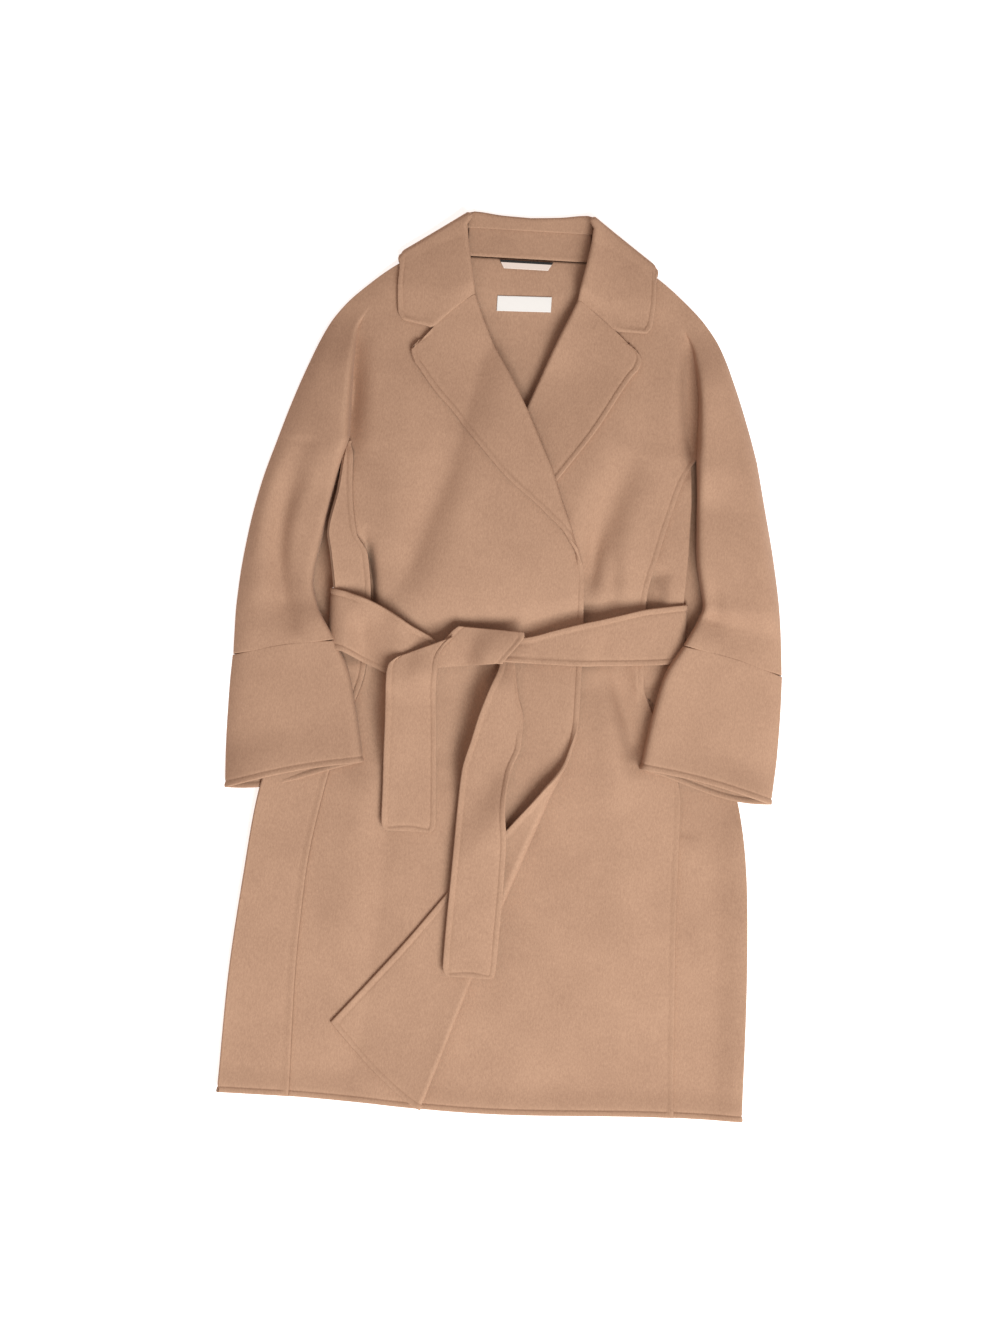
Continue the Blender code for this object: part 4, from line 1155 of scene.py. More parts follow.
def turned_edge(side, turns, ups, shares, height):
    """The turned edge of a front, from the free edge to the fold."""
    fold, along, width, turned, radius = (read(turns, name, ups)[:, None] for name in Turn._fields[1:])
    fold = fold + radius * turned
    below = np.maximum(ups - TANGENT, turns[0].up)
    above = np.minimum(ups + TANGENT, turns[-1].up)
    slope = ((read(turns, "fold", above) - read(turns, "fold", below)) / (above - below))[:, None]
    size = np.hypot(slope, 1.0)
    angle = np.pi * turned
    settled = step((turned - SETTLED) / (1.0 - SETTLED))
    arc = np.minimum(radius * angle, width)
    length = shares[::-1] * width
    bend = np.minimum(length / radius, angle)
    straight = np.maximum(length - arc, 0.0)
    out = radius * np.sin(bend) + straight * np.cos(angle)
    lift = radius * (1.0 - np.cos(bend)) + straight * np.sin(angle)
    lift = lift - settled * (2.0 * radius - LAYER) * (1.0 - np.exp(-straight / ROLL_EASE))
    stand = np.where(ups[:, None] > LAPEL_FROM, LAPEL_STANDS[side], FLAP_STAND)
    lift = lift + settled * stand * (straight / width) ** 2
    bow = along * (length / width) ** GORGE_BOW
    x = fold + (slope * bow - out) / size
    up = ups[:, None] + (bow + slope * out) / size
    return stacked(side * x, up, height(side * x, up) + lift)


def front_patches(side, turns, height):
    """A front panel with its turned edge, its yoke and its half of the sleeve."""
    shares = marks(FRONT_WIDTH, COLUMN_STEP, far=FELL_STEPS)
    turn_shares = marks(TURN_WIDTH, COLUMN_STEP, ROLL_STEPS, FELL_STEPS)[1:]
    upper, lower = body_rows(ROW_STEP, FELL_STEPS, FELL_STEPS)
    ups = np.concatenate([upper, lower[1:]])
    fold = (read(turns, "fold", ups) + read(turns, "radius", ups) * read(turns, "turned", ups))[:, None]
    seam = read(BODIES[side], "seam", ups)[:, None]
    x = side * mix(fold, seam, shares)
    main = stacked(x, ups[:, None], height(x, np.broadcast_to(ups[:, None], x.shape)))
    body = np.concatenate([turned_edge(side, turns, ups, turn_shares, height), main], axis=1)
    body[:, :, 1] = dropped(body[:, :, 0], body[:, :, 1])
    yoke_ups = yoke_rows(ROW_STEP)
    neck = (read(SHOULDER, "neck", yoke_ups) + turns[-1].radius)[:, None]
    seam = read(BODIES[side], "seam", yoke_ups)[:, None]
    x = side * mix(neck, seam, shares)
    yoke = stacked(x, yoke_ups[:, None], height(x, np.broadcast_to(yoke_ups[:, None], x.shape)))
    head, arm = sleeve_grids(side, True, np.concatenate([yoke_ups[:-1], upper]), height)
    below = (ups < NOTCH_UP)[:, None]
    past_notch = np.abs(body[:1, :, 0]) > FALL_NOTCH
    past_notch[:, len(turn_shares) :] = False
    where = {"first": past_notch, "right": below}
    on_top = ("right",) if side > 0.0 else ()
    half = wall(body, sewn=("right",), felled=("left", "first", "last") + on_top, where=where)
    turned = (np.arange(body.shape[1]) < len(turn_shares))[None, :]
    half = np.minimum(half, wall(body, sewn=("first",), where={"first": turned}) + FELL_PLUMP)
    return [
        (body, half),
        (yoke, wall(yoke, sewn=("left", "first"))),
        (head, wall(head, sewn=("right", "first"))),
        (arm, wall(arm, sewn=("left", "right", "last"))),
    ]


def back_patches():
    """The back panel with its half of both sleeves."""
    upper = np.linspace(NECK_UP, NOTCH_UP, BACK_UPPER_ROWS)
    lower = (NOTCH_UP - marks(NOTCH_UP, BACK_STEP, far=FELL_STEPS) * NOTCH_UP)[1:]
    top = np.linspace(SHOULDER_UP, NECK_UP, BACK_TOP_ROWS)
    patches = []
    for side in (1.0, -1.0):
        table = BODIES[side]
        shares = marks(BACK_WIDTH, BACK_STEP, far=SEAM_STEPS)
        ups = np.concatenate([upper, lower])
        seam = read(table, "seam", ups)
        under = mix(seam, read(table, "edge", ups), BACK_SEAM_SHARE)
        reach = np.where(ups >= NOTCH_UP, seam, under)[:, None]
        split = mix(NECK_HALF, 0.5 * reach, step((NECK_UP - ups[:, None]) / (NECK_UP - NOTCH_UP)))
        x = np.where(shares < 0.5, 2.0 * split * shares, mix(split, reach, 2.0 * shares - 1.0))
        trunk = stacked(side * x, dropped(x, ups[:, None]), back_height(x, ups[:, None]))
        outer_shares = (shares[shares >= 0.5] - 0.5) * 2.0
        outer_shares[0] = 0.0
        seam = read(table, "seam", top)[:, None]
        x = mix(NECK_HALF, seam, outer_shares)
        strip = stacked(side * x, top[:, None], back_height(x, top[:, None]))
        head, arm = sleeve_grids(side, False, np.concatenate([top[:-1], upper]), None)
        where = {"right": (ups < NOTCH_UP)[:, None], "first": (shares < 0.5)[None, :]}
        patches += [
            (trunk, wall(trunk, sewn=("right", "first"), felled=("last",), where=where)),
            (strip, wall(strip, sewn=("left", "first"))),
            (head, wall(head, sewn=("right", "first"))),
            (arm, wall(arm, sewn=("left", "right", "last"))),
        ]
    return patches


def quarter_turn(start, end, level_first, share):
    """A rounded quarter from start to end, each (across, height), level at one end."""
    if level_first:
        first = (start[0] + PANEL_LEVEL * (end[0] - start[0]), start[1])
        second = (end[0], end[1] + PANEL_UPRIGHT * (start[1] - end[1]))
    else:
        first = (start[0], start[1] + PANEL_UPRIGHT * (end[1] - start[1]))
        second = (end[0] + PANEL_LEVEL * (start[0] - end[0]), end[1])
    rest = 1.0 - share
    weights = (rest ** 3, 3.0 * share * rest ** 2, 3.0 * share ** 2 * rest, share ** 3)
    corners = (start, first, second, end)
    return [sum(weight * corner[k] for weight, corner in zip(weights, corners)) for k in (0, 1)]


def lapped(side, ups):
    """How an underarm panel lies along its front seam: over the front (1) or under it (-1)."""
    if side > 0.0:
        return np.full(ups.shape, -1.0)
    near_notch = step((ups - NOTCH_UP) / PANEL_CROSS + 1.0)
    under_belt = window(ups, PANEL_BELT_LOW, PANEL_BELT_HIGH, PANEL_CROSS)
    return 1.0 - 2.0 * np.maximum(near_notch, under_belt)


def side_patches(side):
    """The underarm panel, from the front seam round the side fold and under to the back seam."""
    high = NOTCH_UP - 2.0 * SEAM
    ups = high * (1.0 - marks(high, PANEL_STEP, SEAM_STEPS, FELL_STEPS))[:, None]
    edge = read(BODIES[side], "edge", ups) - HALF
    line = np.minimum(read(BODIES[side], "seam", ups), edge - PANEL_LEAST)
    over = lapped(side, ups)
    seam = line - PANEL_LAPS[side] * np.abs(over)
    top = front_height(side * line, ups, 0.0 if side < 0.0 else 1.0) + LAYER * over
    floor = back_height(line, ups)
    fold = (edge, mix(floor, top, PANEL_FOLD_SHARES[side]))
    under = line + BACK_SEAM_SHARE * (edge + HALF - line) + SEAM
    share = marks(PANEL_WIDTH, PANEL_STEP, near=FELL_STEPS)[None, :]
    upper_x, upper_z = quarter_turn((seam, top), fold, True, share)
    lower_x, lower_z = quarter_turn(fold, (under, floor), False, (1.0 - share)[:, ::-1])
    x = np.concatenate([upper_x, lower_x[:, 1:]], axis=1)
    z = np.concatenate([upper_z, lower_z[:, 1:]], axis=1)
    if side > 0.0:
        shown = z[:, : share.shape[1]]
        creased = relief(BODY_CREASES, side * upper_x, ups) * step(1.0 - share)
        near_seam = relief(BODY_CREASES, side * line, ups)
        shown += np.minimum(creased - near_seam * step(1.0 - share), PANEL_DIP_MOST)
        pocket = window(ups, *POCKET, POCKET_END)
        shown -= (PANEL_TUCK + POCKET_DEPTH * pocket) * step(1.0 - share / PANEL_TUCK_SHARE)
        rise = PANEL_EDGE_RISE * step((PANEL_EDGE_TOP - ups) / PANEL_EDGE_FADE)
        shown += rise * step(1.0 - (edge - upper_x) / PANEL_EDGE_OVER)
        slit = window(ups, *SLIT, SLIT_END)
        shown -= SLIT_DEPTH * slit * step(1.0 - share / SLIT_SHARE)
        lowest = floor + np.minimum(LAYER, fold[1] - floor)
        shown[:] = np.maximum(shown, lowest)
    grid = stacked(side * x, dropped(x, ups), z)
    on_top = () if side > 0.0 else ("left",)
    return [(grid, wall(grid, sewn=("left", "right", "first"), felled=("last",) + on_top))]


def cuff_patches(side):
    """A cuff as a ring, from its seam to its mouth, with the lower layer showing past the mouth."""
    table = CUFFS[side]
    along = marks(CUFF_LENGTH, CUFF_STEP, SEAM_STEPS, FELL_STEPS)
    at = along * (len(table) - 1.0)
    inner, inner_up, outer, outer_up, puff = along_table(table, at)
    share = 0.5 - 0.5 * np.cos(np.pi * np.linspace(0.0, 1.0, CUFF_COLUMNS))
    upper = np.concatenate([share, share[-2:0:-1]])
    is_upper = np.arange(len(upper)) < len(share)
    x = mix(inner, outer, upper)
    up = mix(inner_up, outer_up, upper)
    lip = CUFF_LIP * step((along - CUFF_LIP_FROM) / (1.0 - CUFF_LIP_FROM))[:, None]
    drop = np.where(is_upper, 0.0, lip * np.sin(np.pi * upper) * upper)
    bow = np.where(is_upper, CUFF_BOW * np.sin(np.pi * upper), 0.0)
    level = 2.0 * CUFF_EDGE * np.sin(np.pi * upper) ** CUFF_ROUND + puff * dome(upper)
    level = np.where(is_upper, level, 0.0)
    low = arm_height(side, inner, inner_up)
    high = arm_height(side, outer, outer_up)
    z = mix(low, high, upper) + level
    grid = stacked(side * x, up - drop + bow, z)
    return [(grid, wall(grid, sewn=("first",), felled=("last",)))]


def leaf_height(x, up):
    """Height of the middle of a collar leaf on the front below it."""
    return np.maximum(front_height(x, up) + LAYER + LEAF_SLACK, LEAF_LEAST)


def lip_row(x, roll_up):
    """The collar's roll behind the neck: from the stand's seam over the top edge to the floor."""
    level = HALF + 2.0 * LAYER
    along = marks(FALL_LIP - FALL_TURN, LIP_STEP, SEAM_STEPS) * (roll_up - FALL_TURN - STAND_UP)
    bend = np.pi * np.arange(1, LIP_BEND_STEPS + 1) / LIP_BEND_STEPS
    flat = stacked(x, STAND_UP + along, level)
    heights = 0.5 * (level + HALF) + 0.5 * (level - HALF) * np.cos(bend)
    return np.concatenate([flat, stacked(x, roll_up - FALL_TURN + FALL_TURN * np.sin(bend), heights)])


def fall_rows(side, shares):
    """The fall behind the neck, flat under the back, from the centre to the shoulder."""
    rows = []
    for roll, roll_up, edge, edge_up in zip(*between(FALL_BACK, FALL_BACK_ROWS)):
        start = roll_up - FALL_TURN + side * COLLAR_TILT * roll
        rows.append(stacked(mix(roll, edge, shares), mix(start, edge_up, shares), HALF))
    return rows


def leaf_rows(side, shares, turn):
    """A leaf: from under the back round the shoulder's fold, then on the front to the notch."""
    rows = []
    corner = np.array(FALL_CORNER) + np.array((0.0, side * COLLAR_TILT * FALL_CORNER[0]))
    point = np.array(FALL_POINT)
    away = np.array((corner[1] - point[1], point[0] - corner[0]))
    away = away / np.linalg.norm(away)
    fold = mix(corner, point, shares[:, None])
    lean = step((shares - 1.0 + FALL_LEAN) / FALL_LEAN)[:, None]
    away = mix(away, np.array((0.0, 1.0)), lean)
    end = np.clip(FALL_ROUND - (1.0 - shares) * np.linalg.norm(point - corner), 0.0, FALL_ROUND)[:, None]
    fold = fold - away * (FALL_ROUND - np.sqrt(FALL_ROUND ** 2 - end ** 2))
    inside = fold - away * FALL_INSET
    radius = 0.5 * (leaf_height(side * inside[:, 0], inside[:, 1]) - HALF)
    rolled = LEAF_ROLLS[side] * (1.0 - shares) ** LEAF_ROLL_CURVE
    for k in range(FALL_BEND_STEPS + 1):
        share = step(k / FALL_BEND_STEPS)
        bend = -0.5 * np.pi + np.pi * k / FALL_BEND_STEPS
        place = fold + away * (radius * (math.cos(bend) - 1.0))[:, None]
        heights = HALF + (radius + 0.5 * rolled) * (1.0 + math.sin(bend))
        main = stacked(place[:, 0] + CURL_RADIUS * (1.0 - shares) * share, place[:, 1], heights)
        small = mix(CURL_LEAST, CURL_RADIUS, share)
        rows.append(np.concatenate([curled(main, turn, small), main]))
    roll, roll_up, edge, edge_up = between(FALL_FRONT, FALL_ROWS)
    last = len(roll) - 1
    notch_x, notch_up = notch_edge(TURNS[side], roll[-1] + CURL_RADIUS, edge[-1], edge_up[-1], shares)
    notch_x = notch_x - roll[-1] - CURL_RADIUS * (1.0 - shares) - (edge[-1] - roll[-1]) * shares
    notch_up = notch_up - roll_up[-1] - (edge_up[-1] - roll_up[-1]) * shares
    sewn = step((FALL_NOTCH_SHARE - shares) / GORGE_EASE + 1.0)
    for k in range(last + 1):
        ending = step((k - last + FALL_ROWS) / FALL_ROWS)
        x = roll[k] + CURL_RADIUS * (1.0 - shares) + (edge[k] - roll[k]) * shares + notch_x * ending
        start = roll_up[k] + side * COLLAR_TILT * roll[k] * step(1.0 - k / FALL_ROWS)
        up = mix(start, edge_up[k], shares) + notch_up * ending
        lift = rolled * step((last - k) / FALL_ROWS) + (LAYER - LEAF_SLACK) * ending * sewn
        main = stacked(x, up, leaf_height(side * x, up) + lift)
        rows.append(np.concatenate([curled(main, turn, CURL_RADIUS), main]))
    return rows


def collar_patches():
    """The roll behind the neck, the fall under the back and the two leaves."""
    shares = marks(LEAF_WIDTH, LEAF_STEP, far=FELL_STEPS)
    turn = np.linspace(0.0, 1.0, CURL_STEPS + 1)[:-1]
    roll, roll_up, _, _ = between(FALL_BACK, FALL_BACK_ROWS)
    ends_x, ends_up = zip(*LIP_ENDS)
    lip_x = np.concatenate([roll, ends_x])
    lip_up = np.concatenate([roll_up, ends_up])
    patches = []
    for side in (1.0, -1.0):
        lip = np.array([lip_row(x, up + side * COLLAR_TILT * x) for x, up in zip(lip_x, lip_up)])
        leaf = np.array(leaf_rows(side, shares, turn))
        fall = np.array(fall_rows(side, shares) + [leaf[0, len(turn) :]])
        for grid in (lip, fall, leaf):
            grid[:, :, 0] *= side
        free = np.concatenate([np.zeros(len(turn)), shares])[None, :] > FALL_NOTCH_SHARE
        half = wall(leaf, sewn=("left",), felled=("right", "last"), where={"last": free})
        patches.append((lip, wall(lip, sewn=("left", "last"))))
        patches.append((fall, wall(fall, felled=("right",))))
        patches.append((leaf, np.minimum(half, wall(leaf, sewn=("last",)) + FELL_PLUMP)))
    return patches


def curled(main, turn, radius):
    """The roll of a leaf's inner edge, from under the leaf up to its first point."""
    angle = np.pi * (1.0 - turn)
    x = main[0, 0] - radius * np.sin(angle)
    up = np.full(len(turn), main[0, 1])
    return stacked(x, up, main[0, 2] - radius * (1.0 - np.cos(angle)))


def notch_edge(turns, roll, edge, edge_up, shares):
    """The leaf's front end: along the lapel's top down to the notch, then straight to its point."""
    fine = np.linspace(0.0, 1.0, GORGE_POINTS)
    lapel = turned_edge(1.0, turns, np.array([GORGE_UP]), fine, lambda x, up: 0.0 * x)[0, ::-1]
    lapel = lapel[np.argmin(lapel[:, 0]) :]
    x = mix(roll, FALL_NOTCH, np.clip(shares / FALL_NOTCH_SHARE, 0.0, 1.0))
    lap = (SEAM + GORGE_LAP) * step((FALL_NOTCH - x) / GORGE_LAP_OVER)
    up = np.interp(x, lapel[:, 0], lapel[:, 1]) + SEAM - lap
    rest = np.clip((shares - FALL_NOTCH_SHARE) / (1.0 - FALL_NOTCH_SHARE), 0.0, 1.0)
    return mix(x, edge, rest), mix(up, edge_up, rest)


def stand_patches():
    """The collar stand behind the neck, under the roll at its top and over the back at the neck."""
    x = STAND_HALF * (2.0 * marks(2.0 * STAND_HALF, STAND_STEP, SEAM_STEPS, SEAM_STEPS) - 1.0)[None, :]
    high = STAND_UP + STAND_LAP
    low = NECK_UP - NECK_LAP
    shares = marks(STAND_HEIGHT, STAND_ROW_STEP, SEAM_STEPS, SEAM_STEPS)[:, None]
    level = HALF + LAYER
    neck = 2.0 * HALF + FALL_RISE + GAP + STAND_EDGE
    grid = stacked(x, mix(high, low, shares), mix(level, neck, step(shares)))
    away = from_side(grid, "last")
    grid[:, :, 2] += STAND_RIDGE * np.exp(-(((away - STAND_RIDGE_IN) / STAND_RIDGE_IN) ** 2))
    thin = mix(STAND_EDGE / HALF, 1.0, step(away / STAND_THIN_OVER))
    return [(grid, wall(grid, sewn=("left", "right", "first", "last")) * thin)]


def belt_patches(drape, belt_lift):
    """The stretch from the knot's right, round under the back, to the knot's left."""
    shares = marks(BELT_WIDTH, BELT_STEP, FELL_STEPS, FELL_STEPS)
    halves = []
    for side, runs in ((-1.0, BELT_RIGHT), (1.0, BELT_LEFT)):
        x, top, low = (column[::-1, None] for column in between(runs, BELT_ROWS))
        up = mix(low, top, shares)
        wide = np.broadcast_to(x, up.shape)
        out = np.abs(x)
        front = stacked(wide, up, drape(np.clip(wide, -BELT_REACH, BELT_REACH), up))
        lift = belt_lift + BELT_TILT * shares
        front[:, :, 2] += lift * step((BELT_LIFT_FROM - out) / BELT_LIFT_OVER)
        beside = window(out, BELT_SIDE_FROM, BELT_SIDE_TO, BELT_SIDE_OVER)
        front[:, :, 2] += BELT_SIDE_TILTS[side] * shares * beside
        last = runs[0]
        height = front[-1, :, 2].max()
        ending = step((out - abs(last.x)) / BELT_END_OVER + 1.0)
        front[:, :, 2] += (height - front[-1:, :, 2]) * ending
        turn = np.pi * np.arange(1, BELT_BEND_STEPS) / BELT_BEND_STEPS
        middle = 0.5 * (height + HALF)
        bend_x = last.x + side * (BELT_SIDE - abs(last.x)) * np.sin(turn)
        bend_z = middle + (height - middle) * np.cos(turn)
        bend_up = mix(last.low, last.top, shares) + BELT_END_RISE * np.sin(turn)[:, None]
        bend = stacked(bend_x[:, None], bend_up, bend_z[:, None])
        halves.append(np.concatenate([front, bend]))
    share = np.linspace(0.0, 1.0, BELT_BACK_RUNS + 1)[:, None]
    ends = [np.array(runs[0]) for runs in (BELT_RIGHT, BELT_LEFT)]
    x, top, low = (mix(ends[0][k], ends[1][k], share) for k in range(3))
    back = stacked(x, mix(low, top, shares), HALF)
    grid = np.concatenate([halves[0], back, halves[1][::-1]])
    return [(grid, wall(grid, sewn=("first", "last"), felled=("left", "right")))]


def strip_grid(strips, drape, ends, loose=0.0, tilt=0.0):
    """A strip of the belt that lies on what is below it."""
    rows = len(strips) - 1
    length = sum(math.hypot(a.left - b.left, a.left_up - b.left_up) for a, b in zip(strips, strips[1:]))
    at = marks(length, length / (rows * STRIP_ROWS), far=ends) * rows
    left, left_up, right, right_up = along_table(strips, at)
    shares = marks(BELT_WIDTH, BELT_STEP, FELL_STEPS, FELL_STEPS)
    x = mix(left, right, shares)
    up = mix(left_up, right_up, shares)
    out = step((TAIL_OUT - up) / TAIL_OUT_OVER)
    along = at[:, None] / rows
    lift = TAIL_LOOSE + TAIL_LIFT * (1.0 - step(along / TAIL_LIFT_SHARE)) * loose * out
    lift = lift + tilt * (1.0 - shares) * (1.0 - TAIL_TILT_FADE * along) * out
    return stacked(x, up, drape(x, up) + lift)


def tape_grid(left, right, high, low, slant, lift, tilt=0.0):
    """A flat tape on the back panel, with slanted ends."""
    up = mix(high, low, marks(high - low, TAPE_ROW_STEP, TAPE_STEPS, TAPE_STEPS))[:, None]
    inset = slant * (high - up) / (high - low)
    shares = marks(right - left, TAPE_STEP, TAPE_STEPS, TAPE_STEPS)[None, :]
    x = left + inset + (right - left - 2.0 * inset) * shares
    up = up + tilt * (x - 0.5 * (left + right))
    return stacked(x, up, back_height(x, up) + HALF + GAP + 0.5 * RIBBON + lift)


def size_choice(name, description, default):
    """A small size that a user would change."""
    return bpy.props.FloatProperty(
        name=name, description=description, subtype="DISTANCE", unit="LENGTH", min=0.0, default=default)


def colour_choice(name, description, default):
    """A colour that a user would change."""
    return bpy.props.FloatVectorProperty(
        name=name, description=description, subtype="COLOR", size=4, min=0.0, max=1.0, default=default)


class CoatSizes(bpy.types.PropertyGroup):
    """Sizes of the nap, the belt and the loop."""

    nap_depth: size_choice("Nap", "Depth of the wool's nap", NAP_DEPTH)
    belt_lift: size_choice("Belt", "How far the belt stands off the coat beside the knot", BELT_LIFT)
    knot_puff: size_choice("Knot", "Fullness of the knot's wrap", KNOT_PUFF)
    loop_lift: size_choice("Loop", "How far the hanger loop stands off the back", LOOP_LIFT)


class CoatColours(bpy.types.PropertyGroup):
    """Colours of the coat and its stage."""

    wool_light: colour_choice(
        "Wool, light fibres", "Colour of the nap where it catches the light", (0.49, 0.294, 0.192, 1.0))
    wool_dark: colour_choice(
        "Wool, dark fibres", "Colour between the fibres of the nap", (0.36, 0.208, 0.134, 1.0))
    ribbon: colour_choice("Hanger loop", "Colour of the hanger loop's tape", (0.80, 0.68, 0.60, 1.0))
    label: colour_choice("Label", "Colour of the blank neck label", (0.80, 0.76, 0.72, 1.0))
    floor: colour_choice("Floor", "Colour of the surface that the coat lies on", (0.93, 0.93, 0.93, 1.0))


class CoatStage(bpy.types.PropertyGroup):
    """Light and camera."""

    key_power: bpy.props.FloatProperty(
        name="Key light", description="Power of the large soft light beside the hem, on the wearer's left",
        subtype="POWER", unit="POWER", min=0.0, default=268.0)
    sky_strength: bpy.props.FloatProperty(
        name="Room light", description="Strength of the even light from all round",
        min=0.0, default=0.39)
    camera_up: bpy.props.FloatProperty(
        name="Camera height", description="Height of the camera over the floor",
        subtype="DISTANCE", unit="LENGTH", min=1.0, default=CAMERA_UP)


def wool_material():
    """The coat's cloth, made once."""
    scene = bpy.context.scene
    made = bpy.data.materials.get("camel_wool")
    return made or wool(scene.coat_colours, scene.coat_sizes.nap_depth)


class COAT_OT_back(bpy.types.Operator):
    """Lays out the back panel with the lower halves of the sleeves"""

    bl_idname = "coat.back"
    bl_label = "Back"

    def execute(self, context):
        piece = shell("coat_back", back_patches(), wool_material())
        dress(piece, "back")
        return {"FINISHED"}


class COAT_OT_fronts(bpy.types.Operator):
    """Lays the left front on the back, and the right front over it"""

    bl_idname = "coat.fronts"
    bl_label = "Fronts"

    def execute(self, context):
        under = front_patches(1.0, UNDER_TURN, front_height)
        LAID["under"] = Ground()
        for grid, _ in under[:2]:
            LAID["under"].lay(grid)
        LAID["smoothed"] = LAID["under"].draped(WIDE)
        LAID["close"] = LAID["under"].draped(CLOSE)
        over = front_patches(-1.0, OVER_TURN, over_height)
        LAID["fronts"] = Ground(LAID["under"])
        for grid, _ in over[:2]:
            LAID["fronts"].lay(grid)
        for name, patches in (("left", under), ("right", over)):
            piece = shell("coat_front_" + name, patches, wool_material())
            dress(piece, "front_" + name)
        return {"FINISHED"}


class COAT_OT_side_panels(bpy.types.Operator):
    """Folds the two underarm panels round the sides"""

    bl_idname = "coat.side_panels"
    bl_label = "Underarm panels"

    def execute(self, context):
        LAID["body"] = Ground(LAID["fronts"])
        for side, name in ((-1.0, "right"), (1.0, "left")):
            patches = side_patches(side)
            LAID["body"].lay(patches[0][0])
            piece = shell("coat_side_panel_" + name, patches, wool_material())
            dress(piece, "side_panel_" + name)
        return {"FINISHED"}


class COAT_OT_cuffs(bpy.types.Operator):
    """Sets a wide cuff on the end of each sleeve"""

    bl_idname = "coat.cuffs"
    bl_label = "Cuffs"

    def execute(self, context):
        for side, name in ((-1.0, "right"), (1.0, "left")):
            piece = shell("coat_cuff_" + name, cuff_patches(side), wool_material(), ring=True)
            dress(piece, "cuff_" + name)
        return {"FINISHED"}


class COAT_OT_collar(bpy.types.Operator):
    """Turns the collar over the shoulders, with its stand behind the neck"""

    bl_idname = "coat.collar"
    bl_label = "Collar"

    def execute(self, context):
        piece = shell("coat_collar", collar_patches(), wool_material())
        dress(piece, "collar")
        piece = shell("coat_collar_stand", stand_patches(), wool_material())
        dress(piece, "collar_stand")
        return {"FINISHED"}


class COAT_OT_belt(bpy.types.Operator):
    """Ties the belt: its run round the waist, two tails and the knot's wrap"""

    bl_idname = "coat.belt"
    bl_label = "Belt"

    def execute(self, context):
        drape = LAID["fronts"].draped(FAR)
        tail_long = strip_grid(TAIL_LONG, drape, FELL_STEPS, TAIL_LOOSE_LONG, TAIL_TILT)
        folded = step((tail_long[:, :1, 1] - TAIL_FOLD_UP) / TAIL_FOLD_OVER)
        across = np.linspace(0.0, 1.0, tail_long.shape[1])
        out = step((TAIL_OUT - tail_long[:, :, 1]) / TAIL_OUT_OVER)
        tail_long[:, :, 2] -= TAIL_FOLD_DROP * folded * across ** TAIL_FOLD_CURVE * out
        ground = Ground(LAID["body"]).lay(tail_long)
        sizes = context.scene.coat_sizes
        run = belt_patches(ground.draped(NEAR), sizes.belt_lift)
        ground = Ground(LAID["fronts"]).lay(run[0][0]).lay(tail_long)
        knot = strip_grid(KNOT, ground.draped(NEAR), SEAM_STEPS)
        along = np.linspace(0.0, 1.0, len(knot))[:, None]
        knot[:, :, 2] += sizes.knot_puff * np.sin(np.pi * along) ** KNOT_ROUND + KNOT_TILT * (1.0 - along)
        ground = Ground(LAID["fronts"]).lay(run[0][0]).lay(knot)
        drape = ground.draped(NEAR)
        tail_short = strip_grid(TAIL_SHORT, drape, FELL_STEPS, TAIL_LOOSE_SHORT, TAIL_TILT)
        ends = {"felled": ("left", "right", "last"), "sewn": ("first",)}
        tucked = {"felled": ("left", "right"), "sewn": ("first", "last")}
        cloth = wool_material()
        piece = shell("coat_belt", run, cloth)
        dress(piece, "belt_round")
        unfolded = {"right": tail_long[:, -1:, 1] < TAIL_FOLD_UP}
        half = wall(tail_long, where=unfolded, **ends)
        half = np.minimum(half, wall(tail_long, sewn=("right",)) + FELL_PLUMP)
        piece = shell("coat_belt_tail_long", [(tail_long, half)], cloth)
        dress(piece, "belt_tail_long")
        piece = shell("coat_belt_tail_short", [(tail_short, wall(tail_short, **ends))], cloth)
        dress(piece, "belt_tail_short")
        piece = shell("coat_belt_knot", [(knot, wall(knot, **tucked))], cloth)
        dress(piece, "belt_knot")
        return {"FINISHED"}


class COAT_OT_ribbons(bpy.types.Operator):
    """Sews the hanger loop and the blank label inside the back neck"""

    bl_idname = "coat.ribbons"
    bl_label = "Loop and label"

    def execute(self, context):
        colours = context.scene.coat_colours
        # The loop's tape gets a near-black painted shadow along its top, for the shade under the neck
        # seam.
        tape = ribbon("cream_tape", tuple(colours.ribbon), TAPE_SHADE, LOOP_SHADOW_UP - MIDDLE_UP)
        satin = ribbon("label_satin", tuple(colours.label), LABEL_SHADE)
        lift = context.scene.coat_sizes.loop_lift
        loop = tape_grid(LOOP_LEFT, LOOP_RIGHT, LOOP_HIGH, LOOP_LOW, LOOP_SLANT, lift)
        half = wall(loop, sewn=("left", "right", "first", "last"), half=0.5 * RIBBON)
        piece = shell("coat_hanger_loop", [(loop, half)], tape)
        dress(piece, "hanger_loop")
        label = tape_grid(LABEL_LEFT, LABEL_RIGHT, LABEL_HIGH, LABEL_LOW, 0.0, 0.0, LABEL_TILT)
        half = wall(label, sewn=("left", "right", "first", "last"), half=0.5 * RIBBON)
        piece = shell("coat_label", [(label, half)], satin)
        dress(piece, "label")
        return {"FINISHED"}


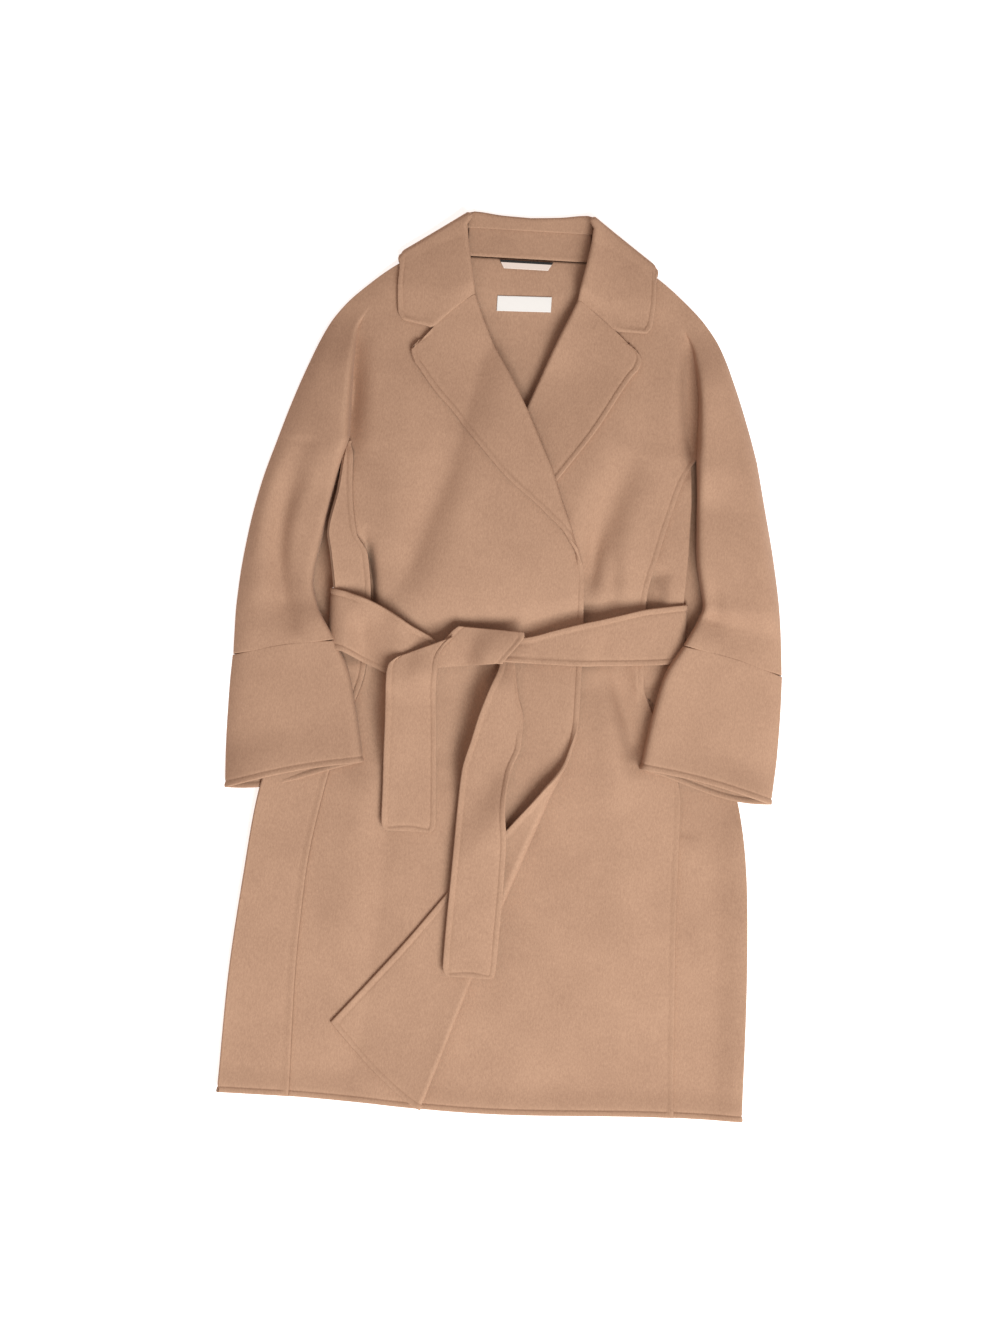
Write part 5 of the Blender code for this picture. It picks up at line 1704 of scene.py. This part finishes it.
class COAT_OT_stage(bpy.types.Operator):
    """Sets the pale floor, the soft light and the camera straight above the coat"""

    bl_idname = "coat.stage"
    bl_label = "Stage"

    def execute(self, context):
        scene = context.scene
        stage = scene.coat_stage
        scene.view_settings.view_transform = "Standard"
        mesh = bpy.data.meshes.new("floor")
        signs = ((-1.0, -1.0), (1.0, -1.0), (1.0, 1.0), (-1.0, 1.0))
        corners = [(FLOOR_HALF * x, FLOOR_HALF * y, 0.0) for x, y in signs]
        mesh.from_pydata(corners, [], [(0, 1, 2, 3)])
        web = Web("pale_floor")
        paint = {"Base Color": tuple(scene.coat_colours.floor), "Roughness": FLOOR_ROUGH}
        glow = {"Emission Color": tuple(scene.coat_colours.floor), "Emission Strength": FLOOR_GLOW}
        mesh.materials.append(web.finish({**paint, **glow}))
        floor = bpy.data.objects.new("floor", mesh)
        scene.collection.objects.link(floor)
        world = bpy.data.worlds.new("room")
        world.use_nodes = True
        world.node_tree.nodes["Background"].inputs["Color"].default_value = ROOM_TINT
        world.node_tree.nodes["Background"].inputs["Strength"].default_value = stage.sky_strength
        scene.world = world
        lamp = bpy.data.lights.new("key", "AREA")
        lamp.shape = "SQUARE"
        lamp.size = KEY_SIZE
        lamp.color = KEY_TINT
        lamp.energy = stage.key_power
        key = bpy.data.objects.new("key", lamp)
        key.location = KEY_PLACE
        aim = -key.location
        key.rotation_euler = aim.to_track_quat("-Z", "Y").to_euler()
        scene.collection.objects.link(key)
        lens = bpy.data.cameras.new("camera")
        lens.sensor_width = SENSOR
        lens.lens = SENSOR * stage.camera_up / IMAGE_HEIGHT
        lens.clip_end = CAMERA_FAR
        camera = bpy.data.objects.new("camera", lens)
        camera.location = (IMAGE_CENTRE[0], IMAGE_CENTRE[1] - MIDDLE_UP, stage.camera_up)
        camera.rotation_euler = (0.0, 0.0, IMAGE_TILT)
        scene.collection.objects.link(camera)
        scene.camera = camera
        return {"FINISHED"}


PIECES = (
    COAT_OT_back,
    COAT_OT_fronts,
    COAT_OT_side_panels,
    COAT_OT_cuffs,
    COAT_OT_collar,
    COAT_OT_belt,
    COAT_OT_ribbons,
    COAT_OT_stage,
)


class COAT_PT_panel(bpy.types.Panel):
    """Lists the coat's sizes, colours, stage and pieces"""

    bl_idname = "COAT_PT_panel"
    bl_label = "Belted long coat"
    bl_space_type = "VIEW_3D"
    bl_region_type = "UI"
    bl_category = "Coat"

    def draw(self, context):
        scene = context.scene
        for group in (scene.coat_sizes, scene.coat_colours, scene.coat_stage):
            for name in group.__annotations__:
                self.layout.prop(group, name)
        for piece in PIECES:
            self.layout.operator(piece.bl_idname)


CLASSES = (CoatSizes, CoatColours, CoatStage) + PIECES + (COAT_PT_panel,)


def register():
    for made in CLASSES:
        bpy.utils.register_class(made)
    bpy.types.Scene.coat_sizes = bpy.props.PointerProperty(type=CoatSizes)
    bpy.types.Scene.coat_colours = bpy.props.PointerProperty(type=CoatColours)
    bpy.types.Scene.coat_stage = bpy.props.PointerProperty(type=CoatStage)


def unregister():
    del bpy.types.Scene.coat_stage
    del bpy.types.Scene.coat_colours
    del bpy.types.Scene.coat_sizes
    for made in reversed(CLASSES):
        bpy.utils.unregister_class(made)


def main():
    register()
    for piece in PIECES:
        group, name = piece.bl_idname.split(".")
        getattr(getattr(bpy.ops, group), name)()
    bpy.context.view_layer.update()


if __name__ == "__main__":
    main()
